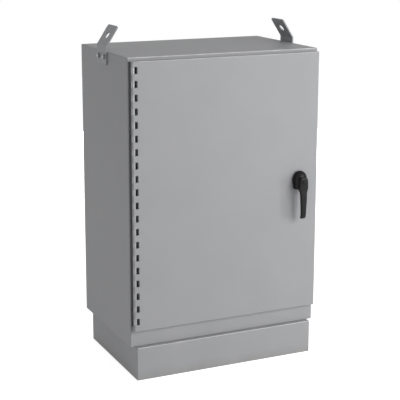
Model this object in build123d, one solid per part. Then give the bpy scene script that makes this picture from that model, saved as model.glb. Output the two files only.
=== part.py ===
from build123d import *
import math
import os

# Fibre optic cabinet: a folded steel enclosure on a plinth, with one door on a continuous hinge,
# a turning handle that works a three point latch, two lifting eyes, and the fibre gear inside.
# Millimetres. X runs to the right along the front, the front faces -Y, +Z is up, and the
# origin is on the floor at the centre of the four anchor bolts.

# Cabinet body
BODY_W = 800.0
BODY_D = 508.0
BODY_H = 1118.0
SHEET = 2.0
BODY_BEND = 4.0
FLANGE_LEFT = 62.0
FLANGE_RIGHT = 38.0
FLANGE_TOP = 52.0
FLANGE_BOTTOM = 104.0
SEAL_LIP = 11.0
OPENING_CORNER = 6.0

# Plinth
PLINTH_H = 132.0
PLINTH_SIDE_INSET = 20.0
PLINTH_FRONT_STEP = 20.0
PLINTH_BACK_INSET = 21.0
PLINTH_SHEET = 2.5
PLINTH_BEND = 3.0
PLINTH_TOP_FLANGE = 44.0
PLINTH_FOOT_FLANGE = 50.0
ANCHOR_SIDE_INSET = 50.0
ANCHOR_END_INSET = 34.0
ANCHOR_HOLE_D = 14.0
CORNER_RELIEF_D = 7.0
PLINTH_BOLT_SIDE_INSET = 45.0
PLINTH_BOLT_END_INSET = 64.0

# Door
DOOR_PROUD = 21.0
DOOR_GAP = 3.0
DOOR_MARGIN_RIGHT = 3.0
DOOR_MARGIN_TOP = 13.0
DOOR_MARGIN_BOTTOM = 68.0
DOOR_BEND = 3.0
GASKET_W = 12.0
SEAL_CLEARANCE = 0.3
STIFFENER_W = 60.0
STIFFENER_D = 14.0
STIFFENER_WING = 15.0
STIFFENER_END_GAP = 60.0
STIFFENER_HOLE_D = 22.0
STIFFENER_HOLE_PITCH = 110.0

# Continuous hinge
HINGE_LEN = 1016.0
HINGE_RISE = 87.5
HINGE_INSET = 15.5
KNUCKLE_PITCH = 50.8
FIRST_KNUCKLE_RISE = 19.7
KNUCKLE_GAP = 0.4
PIN_D = 9.4
PIN_FIT = 0.05
LEAF_T = 2.25
LEAF_SLOT = 9.0
LEAF_REACH = 18.0
BODY_LEAF_FOOT = 22.0
GUTTER_DEPTH = 9.0
GUTTER_START = 4.0
GUTTER_SLOPE = 10.0
GUTTER_END = 46.0

# Handle and latch
HANDLE_FROM_RIGHT = 85.0
HANDLE_RISE = 599.0
COLLAR_D = 60.0
COLLAR_T = 6.0
COLLAR_ROUND = 2.0
HEAD_W = 57.0
HEAD_TOP = 39.0
HEAD_LOW = 33.0
HEAD_SHOULDER_OUT = 24.0
HEAD_SHOULDER_W = 54.0
HEAD_SHOULDER_TOP = 36.0
HEAD_BROW_OUT = 38.0
HEAD_BROW_W = 46.0
HEAD_BROW_TOP = 28.0
HEAD_NOSE_OUT = 44.0
HEAD_NOSE_W = 39.0
HEAD_NOSE_TOP = 20.0
HEAD_CORNER = 5.0
LEVER_T = 13.0
LEVER_OUT = 49.0
LEVER_ROUND = 3.5
LEVER_ROOT_DROP = 30.0
LEVER_ROOT_W = 40.0
LEVER_FLARE_DROP = 38.0
LEVER_FLARE_W = 33.0
LEVER_NECK_DROP = 47.0
LEVER_NECK_W = 29.0
LEVER_GRIP_DROP = 78.0
LEVER_GRIP_W = 26.5
LEVER_WAIST_DROP = 109.0
LEVER_WAIST_W = 22.5
LEVER_TIP_DROP = 136.0
LEVER_DROP = 149.0
LEVER_END_W = 21.5
LEVER_END_BACK = 8.0
LOCK_DOME_D = 19.0
LOCK_DOME_RISE = 2.5
LOCK_DOME_ROUND = 2.0
SHAFT_D = 16.0
SHAFT_SQUARE = 10.0
SHAFT_FIT = 0.06
BUSH_D = 24.0
BUSH_LEN = 12.0
CAM_T = 4.0
CAM_CLEARANCE = 1.0
CAM_HUB_R = 17.0
CAM_PIN_R = 28.0
CAM_PIN_D = 8.0
CAM_ARM_R = 9.0
TONGUE_LEN = 62.0
TONGUE_W = 24.0
ROD_W = 20.0
ROD_T = 4.0
ROD_GAP = 1.0
ROD_SLOT_PLAY = 1.4
ROD_HEAD_W = 34.0
ROD_HEAD_H = 26.0
ROLLER_D = 15.0
ROLLER_W = 10.0
ROLLER_AXLE_D = 5.0
ROLLER_SIDE_GAP = 0.4
ROLLER_FIT = 0.06
ROLLER_HOLD = 18.0
GUIDE_T = 2.0
GUIDE_H = 22.0
GUIDE_PLAY = 0.5
GUIDE_FOOT = 22.0
GUIDE_BACK_OFF = 110.0

# Lifting eyes
EYE_T = 6.0
EYE_W = 100.0
EYE_BELOW = 51.0
EYE_ABOVE = 22.0
EYE_TAB = 88.0
EYE_TILT = 33.0
EYE_HOLE_D = 29.0
EYE_HOLE_AT = 44.0
EYE_CORNER = 11.0
EYE_BOLT_DROP = 20.5
EYE_BOLT_SPACING = 58.0

# Bolts and nuts
BOLT_D = 10.0
BOLT_HEAD_AF = 17.0
BOLT_HEAD_H = 6.4
WASHER_D = 21.0
WASHER_T = 2.0
NUT_H = 8.0
HOLE_PLAY = 0.5

# Inner mounting panel
PANEL_SIDE_GAP = 55.0
PANEL_END_GAP = 60.0
PANEL_SHEET = 2.5
PANEL_EDGE = 12.0
PANEL_STANDOFF = 25.0
STUD_D = 8.0
STUD_COLLAR_D = 16.0
STUD_INSET = 30.0
STUD_LEN = 42.0
PANEL_NUT_AF = 13.0
PANEL_NUT_H = 6.5

# Rack rails and cross bars
RACK_PITCH_X = 465.1
RACK_UNIT = 44.45
RAIL_FACE_W = 22.0
RAIL_FACE_SETBACK = 110.0
RAIL_DEPTH = 30.0
RAIL_SHEET = 2.0
RAIL_FOOT_W = 28.0
RAIL_HOLE_D = 6.5
RAIL_HOLE_STEP = 31.75
BAR_H = 40.0
BAR_D = 20.0
BAR_LOW_RISE = 130.0
BAR_HIGH_DROP = 75.0

# Patch panels, splice shelf and trays
PANEL_FACE_W = 482.6
CHASSIS_EAR = 26.3
CHASSIS_D = 170.0
CHASSIS_UNITS = 2
CHASSIS_PLAY = 0.8
PATCH_START_UNITS = (15, 12, 9)
ADAPTER_COUNT = 12
ADAPTER_W = 26.0
ADAPTER_H = 20.0
ADAPTER_D = 26.0
ADAPTER_OUT = 8.0
ADAPTER_PITCH = 33.0
SOCKET_W = 9.0
SOCKET_H = 7.5
SOCKET_DEPTH = 6.0
ADAPTER_FIT = 0.3
SHELF_UNIT = 5
SHELF_D = 200.0
SHELF_LIP = 12.0
TRAY_COUNT = 4
TRAY_W = 170.0
TRAY_D = 120.0
TRAY_H = 11.0
TRAY_WALL = 2.0
TRAY_HUB_D = 44.0
TRAY_CORNER = 26.0
TRAY_BOSS_D = 12.0
TRAY_STUD_D = 6.0
WING_NUT_D = 13.0

# Slack spools on the rails
SPOOL_D = 62.0
SPOOL_LEN = 46.0
SPOOL_RIM_D = 92.0
SPOOL_RIM_T = 3.0
SPOOL_BORE_D = 46.0
SPOOL_UNITS = (13.0, 7.5)
SPOOL_ARM_T = 2.0
SPOOL_OUT = 75.0

# Earth bar
EARTH_W = 180.0
EARTH_H = 25.0
EARTH_T = 6.0
EARTH_RISE = 95.0
EARTH_STANDOFF = 22.0
EARTH_POST_D = 14.0
EARTH_SCREWS = 7
EARTH_SCREW_PITCH = 22.0
EARTH_HOLE_D = 6.0

# Gland plate over the cut-out in the floor, with the cable glands and plugs
FLOOR_WAY_W = 540.0
FLOOR_WAY_FRONT = -45.0
FLOOR_WAY_BACK = 135.0
FLOOR_WAY_CORNER = 12.0
PLATE_T = 2.0
PLATE_LAP = 22.0
PLATE_BOLT_INSET = 10.0
PLATE_BOLT_D = 6.0
PLATE_BOLT_AF = 10.0
PLATE_HEAD_H = 4.0
PLATE_NUT_H = 5.0
GLAND_SPACING = 150.0
GLAND_Y = 90.0
GLAND_D = 40.0
GLAND_BORE_D = 22.0
GLAND_FLANGE_D = 54.0
GLAND_NUT_H = 7.0
GLAND_DOME_H = 26.0
GLAND_BELOW = 14.0
PLUG_SPACING = 150.0
PLUG_COUNT = 4
PLUG_Y = -10.0
PLUG_D = 32.0
PLUG_RIM_D = 40.0
PLUG_RIM_T = 3.0
PLUG_BELOW = 8.0

# Planes that follow from the sizes above
LEFT = -BODY_W / 2
RIGHT = BODY_W / 2
FRONT = -BODY_D / 2
BACK = BODY_D / 2
BOTTOM = PLINTH_H
TOP = PLINTH_H + BODY_H
FACE = FRONT - DOOR_PROUD
INNER_BACK = BACK - SHEET
FLANGE_BACK = FRONT + SHEET
OPEN_LEFT = LEFT + FLANGE_LEFT
OPEN_RIGHT = RIGHT - FLANGE_RIGHT
OPEN_BOTTOM = BOTTOM + FLANGE_BOTTOM
OPEN_TOP = TOP - FLANGE_TOP
DOOR_RIGHT = RIGHT - DOOR_MARGIN_RIGHT
DOOR_TOP = TOP - DOOR_MARGIN_TOP
DOOR_BOTTOM = BOTTOM + DOOR_MARGIN_BOTTOM
DOOR_BACK = FRONT - DOOR_GAP
DOOR_INSIDE = FACE + SHEET
BORE_R = PIN_D / 2 + PIN_FIT
BARREL_R = BORE_R + LEAF_T
PIN_X = LEFT + HINGE_INSET
PIN_Y = FACE + BARREL_R
DOOR_LEFT = PIN_X - BARREL_R
LEAF_EDGE = PIN_X + LEAF_REACH
HINGE_BOTTOM = BOTTOM + HINGE_RISE
HINGE_TOP = HINGE_BOTTOM + HINGE_LEN
GUTTER_FLOOR = FRONT + GUTTER_DEPTH
ANCHOR_X = RIGHT - ANCHOR_SIDE_INSET
ANCHOR_Y = BACK - ANCHOR_END_INSET
PLINTH_BOLT_X = RIGHT - PLINTH_BOLT_SIDE_INSET
PLINTH_BOLT_Y = BACK - PLINTH_BOLT_END_INSET
HANDLE_X = RIGHT - HANDLE_FROM_RIGHT
HANDLE_Z = BOTTOM + HANDLE_RISE
CAM_FRONT = FLANGE_BACK + CAM_CLEARANCE
CAM_BACK = CAM_FRONT + CAM_T
ROD_FRONT = CAM_BACK + ROD_GAP
ROD_BACK = ROD_FRONT + ROD_T
ROD_MID = (ROD_FRONT + ROD_BACK) / 2
PIN_REACH = CAM_PIN_R * math.sqrt(0.5)
ROD_OFFSET = (CAM_PIN_R + PIN_REACH) / 2
PANEL_W = BODY_W - 2 * PANEL_SIDE_GAP
PANEL_BACK = INNER_BACK - PANEL_STANDOFF
PANEL_FRONT = PANEL_BACK - PANEL_SHEET
PANEL_BOTTOM = BOTTOM + PANEL_END_GAP
PANEL_TOP = TOP - PANEL_END_GAP
RAIL_FRONT = FRONT + RAIL_FACE_SETBACK
RAIL_BACK = RAIL_FRONT + RAIL_DEPTH
BAR_LOW = BOTTOM + BAR_LOW_RISE
BAR_HIGH = TOP - BAR_HIGH_DROP
RACK_BASE = BAR_LOW + BAR_H
CHASSIS_W = PANEL_FACE_W - 2 * CHASSIS_EAR
PLATE_UNDER = BOTTOM + SHEET
PLATE_TOP = PLATE_UNDER + PLATE_T


def block(xa, xb, ya, yb, za, zb):
    """A rectangular solid between two corners."""
    return Pos((xa + xb) / 2, (ya + yb) / 2, (za + zb) / 2) * Box(xb - xa, yb - ya, zb - za)


def rod_y(x, z, ya, yb, diameter):
    """A cylinder along Y from ya to yb."""
    return Pos(x, (ya + yb) / 2, z) * Rot(90, 0, 0) * Cylinder(diameter / 2, yb - ya)


def rod_x(y, z, xa, xb, diameter):
    """A cylinder along X from xa to xb."""
    return Pos((xa + xb) / 2, y, z) * Rot(0, 90, 0) * Cylinder(diameter / 2, xb - xa)


def rod_z(x, y, za, zb, diameter):
    """A cylinder along Z from za to zb."""
    return Pos(x, y, (za + zb) / 2) * Cylinder(diameter / 2, zb - za)


def hexagon(across_flats):
    """A hexagon sketch with the stated distance across its flats."""
    return RegularPolygon(radius=across_flats / 2, side_count=6, major_radius=False)


def upright(points, za, zb):
    """A prism whose plan outline is given in X and Y, from za to zb."""
    face = make_face(Polyline(*points, close=True))
    return Pos(0, 0, za) * extrude(face, amount=zb - za)


def mirror_x(piece):
    """The same piece on the other side of the cabinet."""
    return mirror(piece, about=Plane.YZ)


# Cabinet body: one welded shell of folded sheet, with the front flanges and the seal lip.
def gutter_outline(grow):
    """Plan outline of the recess that the hinge sits in; grow is the sheet round it."""
    start = LEFT + GUTTER_START - grow
    floor = GUTTER_FLOOR + grow
    end = LEFT + GUTTER_END + grow
    mouth = FRONT if grow else FRONT - SHEET
    return [
        (start, mouth),
        (start, FRONT + grow / 2),
        (start + GUTTER_SLOPE, floor),
        (end, floor),
        (end, mouth),
    ]


def seal_lip():
    """The rim turned forward round the door opening, which the gasket closes on."""
    outer = block(
        OPEN_LEFT - SHEET, OPEN_RIGHT + SHEET, FRONT - SEAL_LIP, FLANGE_BACK,
        OPEN_BOTTOM - SHEET, OPEN_TOP + SHEET
    )
    return fillet(outer.edges().filter_by(Axis.Y), OPENING_CORNER + SHEET)


def door_opening():
    """The space cut through the front flanges."""
    cut = block(
        OPEN_LEFT, OPEN_RIGHT, FRONT - SEAL_LIP - SHEET, FLANGE_BACK + SHEET, OPEN_BOTTOM, OPEN_TOP
    )
    return fillet(cut.edges().filter_by(Axis.Y), OPENING_CORNER)


def floor_way(grow, za, zb):
    """The cut-out in the floor that the gland plate covers; grow widens it all round."""
    half = FLOOR_WAY_W / 2 + grow
    way = block(-half, half, FLOOR_WAY_FRONT - grow, FLOOR_WAY_BACK + grow, za, zb)
    return fillet(way.edges().filter_by(Axis.Z), FLOOR_WAY_CORNER + grow / 2)


def plate_bolt_places():
    """X and Y of the gland plate's bolts: three along its front and three along its back."""
    reach = PLATE_LAP - PLATE_BOLT_INSET
    xs = (-FLOOR_WAY_W / 2 - reach + FLOOR_WAY_CORNER, 0, FLOOR_WAY_W / 2 + reach - FLOOR_WAY_CORNER)
    return [(x, y) for x in xs for y in (FLOOR_WAY_FRONT - reach, FLOOR_WAY_BACK + reach)]


def plinth_bolt_places():
    """X and Y of the bolts between body and plinth."""
    return [(sx * PLINTH_BOLT_X, sy * PLINTH_BOLT_Y) for sx in (-1, 1) for sy in (-1, 1)]


def eye_bolt_places():
    """Y positions of the two bolts in each lifting eye."""
    return [-EYE_BOLT_SPACING / 2, EYE_BOLT_SPACING / 2]


def cabinet_body():
    outer = block(LEFT, RIGHT, FRONT, BACK, BOTTOM, TOP)
    outer = fillet(outer.edges(), BODY_BEND)
    inner = block(LEFT + SHEET, RIGHT - SHEET, FLANGE_BACK, INNER_BACK, BOTTOM + SHEET, TOP - SHEET)
    inner = fillet(inner.edges(), BODY_BEND - SHEET)
    shell = outer - inner
    gutter = upright(gutter_outline(SHEET), HINGE_BOTTOM - SHEET, HINGE_TOP + SHEET)
    shell = shell + gutter + seal_lip()
    shell -= upright(gutter_outline(0), HINGE_BOTTOM, HINGE_TOP)
    shell -= door_opening()
    shell -= floor_way(0, BOTTOM - SHEET, BOTTOM + 2 * SHEET)
    for x, y in plinth_bolt_places():
        shell -= rod_z(x, y, BOTTOM - SHEET, BOTTOM + 2 * SHEET, BOLT_D + HOLE_PLAY)
    for x, y in plate_bolt_places():
        shell -= rod_z(x, y, BOTTOM - SHEET, BOTTOM + 2 * SHEET, PLATE_BOLT_D + HOLE_PLAY)
    for y in eye_bolt_places():
        bolt_z = TOP - EYE_BOLT_DROP
        shell -= rod_x(y, bolt_z, LEFT - SHEET, LEFT + 2 * SHEET, BOLT_D + HOLE_PLAY)
        shell -= rod_x(y, bolt_z, RIGHT - 2 * SHEET, RIGHT + SHEET, BOLT_D + HOLE_PLAY)
    return shell


# Plinth: a folded ring with flanges turned in at its top and its foot.
def plinth():
    left = LEFT + PLINTH_SIDE_INSET
    right = RIGHT - PLINTH_SIDE_INSET
    front = FRONT - PLINTH_FRONT_STEP
    back = BACK - PLINTH_BACK_INSET
    outer = block(left, right, front, back, 0, PLINTH_H)
    outer = fillet(outer.edges(), PLINTH_BEND)
    room = block(
        left + PLINTH_SHEET, right - PLINTH_SHEET, front + PLINTH_SHEET, back - PLINTH_SHEET,
        PLINTH_SHEET, PLINTH_H - PLINTH_SHEET
    )
    top_way = block(
        left + PLINTH_TOP_FLANGE, right - PLINTH_TOP_FLANGE, front + PLINTH_TOP_FLANGE,
        back - PLINTH_TOP_FLANGE, PLINTH_H / 2, PLINTH_H + PLINTH_SHEET
    )
    foot_way = block(
        left + PLINTH_FOOT_FLANGE, right - PLINTH_FOOT_FLANGE, front + PLINTH_FOOT_FLANGE,
        back - PLINTH_FOOT_FLANGE, -PLINTH_SHEET, PLINTH_H / 2
    )
    ring = outer - room - top_way - foot_way
    for x in (-ANCHOR_X, ANCHOR_X):
        for y in (-ANCHOR_Y, ANCHOR_Y):
            ring -= rod_z(x, y, -PLINTH_SHEET, 2 * PLINTH_SHEET, ANCHOR_HOLE_D)
    for x, y in plinth_bolt_places():
        ring -= rod_z(x, y, PLINTH_H - 2 * PLINTH_SHEET, PLINTH_H + PLINTH_SHEET, BOLT_D + HOLE_PLAY)
    for x in (left, right):
        for y in (front, back):
            ring -= rod_z(x, y, PLINTH_H - PLINTH_BEND, PLINTH_H + PLINTH_SHEET, CORNER_RELIEF_D)
    return ring


def plinth_bolts():
    """Four bolts with nuts that hold the body down on the plinth."""
    bolts = []
    head = extrude(hexagon(BOLT_HEAD_AF), amount=BOLT_HEAD_H)
    nut = extrude(hexagon(BOLT_HEAD_AF), amount=NUT_H)
    head_seat = BOTTOM + SHEET
    nut_seat = BOTTOM - PLINTH_SHEET
    for x, y in plinth_bolt_places():
        bolt = rod_z(x, y, nut_seat - NUT_H - SHEET, head_seat + WASHER_T, BOLT_D)
        bolt += rod_z(x, y, head_seat, head_seat + WASHER_T, WASHER_D)
        bolt += Pos(x, y, head_seat + WASHER_T) * head
        bolt += Pos(x, y, nut_seat - NUT_H) * nut
        bolts.append(bolt)
    return bolts


# Continuous hinge: two leaves rolled into knuckles round one pin.
def body_knuckle_centres():
    """Heights of the middle of each knuckle on the body's leaf."""
    first = HINGE_BOTTOM + FIRST_KNUCKLE_RISE
    count = int((HINGE_LEN - FIRST_KNUCKLE_RISE) / KNUCKLE_PITCH) + 1
    return [first + n * KNUCKLE_PITCH for n in range(count)]


def knuckle_span(centre):
    """Lowest and highest point of a body knuckle."""
    half = KNUCKLE_PITCH / 4
    return centre - half, centre + half


def hinge_bore():
    return rod_z(PIN_X, PIN_Y, HINGE_BOTTOM - SHEET, HINGE_TOP + SHEET, 2 * BORE_R)


def hinge_body_leaf():
    """Leaf welded in the gutter; its knuckles carry the pin."""
    web_right = PIN_X + BARREL_R
    web_left = web_right - LEAF_T
    web_start = PIN_Y + BARREL_R + KNUCKLE_GAP
    strip = block(web_left, web_right, web_start, GUTTER_FLOOR, HINGE_BOTTOM, HINGE_TOP)
    foot = block(
        web_left, web_left + BODY_LEAF_FOOT, GUTTER_FLOOR - LEAF_T, GUTTER_FLOOR, HINGE_BOTTOM, HINGE_TOP
    )
    leaf = strip + foot
    for centre in body_knuckle_centres():
        low, high = knuckle_span(centre)
        low += KNUCKLE_GAP / 2
        high -= KNUCKLE_GAP / 2
        barrel = rod_z(PIN_X, PIN_Y, low, high, 2 * BARREL_R)
        web = block(web_left, web_right, PIN_Y, web_start, low, high)
        leaf += barrel + web
    return leaf - hinge_bore()


def hinge_door_leaf():
    """Leaf that forms the door's hinge edge, flush with its face and bent back along its return."""
    face_strip = block(PIN_X, LEAF_EDGE, FACE, FACE + LEAF_T, HINGE_BOTTOM, HINGE_TOP)
    bend_strip = block(LEAF_EDGE - LEAF_T, LEAF_EDGE, FACE, DOOR_BACK, HINGE_BOTTOM, HINGE_TOP)
    barrel = rod_z(PIN_X, PIN_Y, HINGE_BOTTOM, HINGE_TOP, 2 * BARREL_R)
    leaf = face_strip + bend_strip + barrel
    slot_right = PIN_X + BARREL_R + LEAF_SLOT
    for centre in body_knuckle_centres():
        low, high = knuckle_span(centre)
        leaf -= block(
            PIN_X - BARREL_R - SHEET, slot_right, FACE - SHEET, PIN_Y + BARREL_R + SHEET,
            low - KNUCKLE_GAP / 2, high + KNUCKLE_GAP / 2
        )
    return leaf - hinge_bore()


def hinge_pin():
    return rod_z(PIN_X, PIN_Y, HINGE_BOTTOM, HINGE_TOP, PIN_D)


# Door: one folded pan with a rounded hinge edge.
def door_panel():
    pan = block(DOOR_LEFT, DOOR_RIGHT, FACE, DOOR_BACK, DOOR_BOTTOM, DOOR_TOP)
    hinge_edge = pan.edges().filter_by(Axis.Z).sort_by(Axis.Y)[:2].sort_by(Axis.X)[0]
    pan = fillet(hinge_edge, BARREL_R - KNUCKLE_GAP)
    other_edges = pan.faces().sort_by(Axis.Y)[0].edges().sort_by(Axis.X)[1:]
    pan = fillet(other_edges, DOOR_BEND)
    room = block(
        DOOR_LEFT + SHEET, DOOR_RIGHT - SHEET, DOOR_INSIDE, DOOR_BACK + SHEET,
        DOOR_BOTTOM + SHEET, DOOR_TOP - SHEET
    )
    inner_edge = room.edges().filter_by(Axis.Z).sort_by(Axis.Y)[:2].sort_by(Axis.X)[0]
    room = fillet(inner_edge, BARREL_R - KNUCKLE_GAP - SHEET)
    pan -= room
    pan -= block(
        DOOR_LEFT - SHEET, LEAF_EDGE, FACE - SHEET, DOOR_BACK + SHEET,
        HINGE_BOTTOM - KNUCKLE_GAP, HINGE_TOP + KNUCKLE_GAP
    )
    low = HINGE_BOTTOM - KNUCKLE_GAP
    pan += block(LEAF_EDGE, LEAF_EDGE + SHEET, FACE, DOOR_BACK, low, DOOR_TOP - SHEET)
    return pan - rod_y(HANDLE_X, HANDLE_Z, FACE - SHEET, DOOR_INSIDE + SHEET, BUSH_D + HOLE_PLAY)


def door_gasket():
    """Foam seal glued inside the door, in line with the seal lip."""
    half = GASKET_W / 2
    front = DOOR_INSIDE
    back = FRONT - SEAL_LIP - SEAL_CLEARANCE
    outer = block(
        OPEN_LEFT - half, OPEN_RIGHT + half, front, back, OPEN_BOTTOM - half, OPEN_TOP + half
    )
    outer = fillet(outer.edges().filter_by(Axis.Y), OPENING_CORNER + half)
    way = block(
        OPEN_LEFT + half, OPEN_RIGHT - half, front - SHEET, back + SHEET,
        OPEN_BOTTOM + half, OPEN_TOP - half
    )
    return outer - way


def door_stiffener():
    """Hat channel up the middle of the door, with lightening holes."""
    low = OPEN_BOTTOM + STIFFENER_END_GAP
    high = OPEN_TOP - STIFFENER_END_GAP
    half = STIFFENER_W / 2
    back = DOOR_INSIDE + STIFFENER_D
    hat = block(-half, half, DOOR_INSIDE, back, low, high)
    hat -= block(-half + SHEET, half - SHEET, DOOR_INSIDE - SHEET, back - SHEET, low - SHEET, high + SHEET)
    hat += block(-half - STIFFENER_WING, -half + SHEET, DOOR_INSIDE, DOOR_INSIDE + SHEET, low, high)
    hat += block(half - SHEET, half + STIFFENER_WING, DOOR_INSIDE, DOOR_INSIDE + SHEET, low, high)
    count = int((high - low) / STIFFENER_HOLE_PITCH)
    start = (low + high) / 2 - (count - 1) / 2 * STIFFENER_HOLE_PITCH
    for n in range(count):
        hat -= rod_y(0, start + n * STIFFENER_HOLE_PITCH, back - 2 * SHEET, back + SHEET, STIFFENER_HOLE_D)
    return hat


# Handle: a cast lever on a round hub that turns in a collar fixed to the door.
def handle_collar():
    collar = rod_y(HANDLE_X, HANDLE_Z, FACE - COLLAR_T, FACE, COLLAR_D)
    front_rim = collar.edges().sort_by(Axis.Y)[0]
    collar = fillet(front_rim, COLLAR_ROUND)
    return collar - rod_y(HANDLE_X, HANDLE_Z, FACE - 2 * COLLAR_T, FACE + SHEET, BUSH_D + HOLE_PLAY)


def shaft_bushing():
    """Sleeve in the door that the handle's shaft turns in."""
    front = FACE - COLLAR_T + SEAL_CLEARANCE
    sleeve = rod_y(HANDLE_X, HANDLE_Z, front, DOOR_INSIDE + BUSH_LEN, BUSH_D)
    nut_face = Plane(origin=(HANDLE_X, DOOR_INSIDE, HANDLE_Z), z_dir=(0, 1, 0))
    sleeve += extrude(nut_face * hexagon(BUSH_D + 2 * COLLAR_T), amount=COLLAR_T)
    bore = rod_y(HANDLE_X, HANDLE_Z, front - SHEET, DOOR_INSIDE + 2 * BUSH_LEN, SHAFT_D + 2 * SHAFT_FIT)
    return sleeve - bore


def head_section(out, width, top):
    """Outline of the handle's head at a distance out from the door: an arch on square feet."""
    half = width / 2
    spring = top - half
    sides = Polyline((half, spring), (half, -HEAD_LOW), (-half, -HEAD_LOW), (-half, spring))
    arch = ThreePointArc((-half, spring), (0, top), (half, spring))
    outline = make_face(sides + arch)
    outline = fillet(outline.vertices().sort_by(Axis.Y)[:2], HEAD_CORNER)
    return Plane(origin=(HANDLE_X, FACE - out, HANDLE_Z), x_dir=(1, 0, 0), z_dir=(0, -1, 0)) * outline


def lever_section(drop, width, out):
    """Rounded cross section of the lever, a stated drop below the shaft and distance out."""
    middle = FACE - out + LEVER_T / 2
    plane = Plane(origin=(HANDLE_X, middle, HANDLE_Z - drop), x_dir=(1, 0, 0), z_dir=(0, 0, -1))
    return plane * RectangleRounded(width, LEVER_T, LEVER_ROUND)


def lever():
    """A lever that flares into the head, rises away from the door and turns back at its end."""
    neck_out = (HEAD_NOSE_OUT + LEVER_OUT) / 2
    return loft(
        [
            lever_section(0, HEAD_NOSE_W, HEAD_NOSE_OUT),
            lever_section(LEVER_ROOT_DROP, LEVER_ROOT_W, HEAD_NOSE_OUT),
            lever_section(LEVER_FLARE_DROP, LEVER_FLARE_W, neck_out),
            lever_section(LEVER_NECK_DROP, LEVER_NECK_W, neck_out),
            lever_section(LEVER_GRIP_DROP, LEVER_GRIP_W, LEVER_OUT),
            lever_section(LEVER_WAIST_DROP, LEVER_WAIST_W, LEVER_OUT),
            lever_section(LEVER_TIP_DROP, LEVER_END_W, LEVER_OUT),
            lever_section(LEVER_DROP, LEVER_END_W, LEVER_OUT - LEVER_END_BACK),
        ],
        ruled=True,
    )


def door_handle():
    """Head and lever in one casting, with the lock's domed cover on its nose."""
    head = loft(
        [
            head_section(COLLAR_T + SEAL_CLEARANCE, HEAD_W, HEAD_TOP),
            head_section(HEAD_SHOULDER_OUT, HEAD_SHOULDER_W, HEAD_SHOULDER_TOP),
            head_section(HEAD_BROW_OUT, HEAD_BROW_W, HEAD_BROW_TOP),
            head_section(HEAD_NOSE_OUT, HEAD_NOSE_W, HEAD_NOSE_TOP),
        ],
        ruled=True,
    )
    dome_out = HEAD_NOSE_OUT + LOCK_DOME_RISE
    dome = rod_y(HANDLE_X, HANDLE_Z, FACE - dome_out, FACE - HEAD_BROW_OUT, LOCK_DOME_D)
    dome = fillet(dome.edges().sort_by(Axis.Y)[0], LOCK_DOME_ROUND)
    return head + lever() + dome


def handle_shaft():
    """Round through the door, square where the cam sits on it."""
    shaft = rod_y(HANDLE_X, HANDLE_Z, FACE - COLLAR_T - SEAL_CLEARANCE, CAM_FRONT, SHAFT_D)
    half = SHAFT_SQUARE / 2
    return shaft + block(
        HANDLE_X - half, HANDLE_X + half, CAM_FRONT, CAM_BACK, HANDLE_Z - half, HANDLE_Z + half
    )


def latch_cam():
    """Cam plate with the side tongue and the two pins that drive the rods."""
    cam = rod_y(HANDLE_X, HANDLE_Z, CAM_FRONT, CAM_BACK, 2 * CAM_HUB_R)
    arm_half = CAM_PIN_R
    arm = block(
        HANDLE_X - arm_half, HANDLE_X + arm_half, CAM_FRONT, CAM_BACK,
        HANDLE_Z - CAM_ARM_R, HANDLE_Z + CAM_ARM_R
    )
    tongue = block(
        HANDLE_X, HANDLE_X + TONGUE_LEN, CAM_FRONT, CAM_BACK,
        HANDLE_Z - TONGUE_W / 2, HANDLE_Z + TONGUE_W / 2
    )
    tip = tongue.edges().filter_by(Axis.Y).group_by(Axis.X)[-1]
    tongue = fillet(tip, CAM_T)
    cam += tongue
    axis = Axis((HANDLE_X, 0, HANDLE_Z), (0, 1, 0))
    cam += arm.rotate(axis, -45)
    for side in (-1, 1):
        x = HANDLE_X + side * PIN_REACH
        z = HANDLE_Z + side * PIN_REACH
        cam += rod_y(x, z, CAM_FRONT, CAM_BACK, 2 * CAM_ARM_R)
        cam += rod_y(x, z, CAM_BACK, ROD_BACK + ROD_GAP, CAM_PIN_D)
    half = SHAFT_SQUARE / 2
    return cam - block(
        HANDLE_X - half, HANDLE_X + half, CAM_FRONT - SHEET, CAM_BACK + SHEET,
        HANDLE_Z - half, HANDLE_Z + half
    )


def roller_centre(side):
    """Height of a roller's axle; side is 1 for the upper rod and -1 for the lower one."""
    edge = OPEN_TOP if side > 0 else OPEN_BOTTOM
    return edge + side * ROLLER_HOLD


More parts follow.
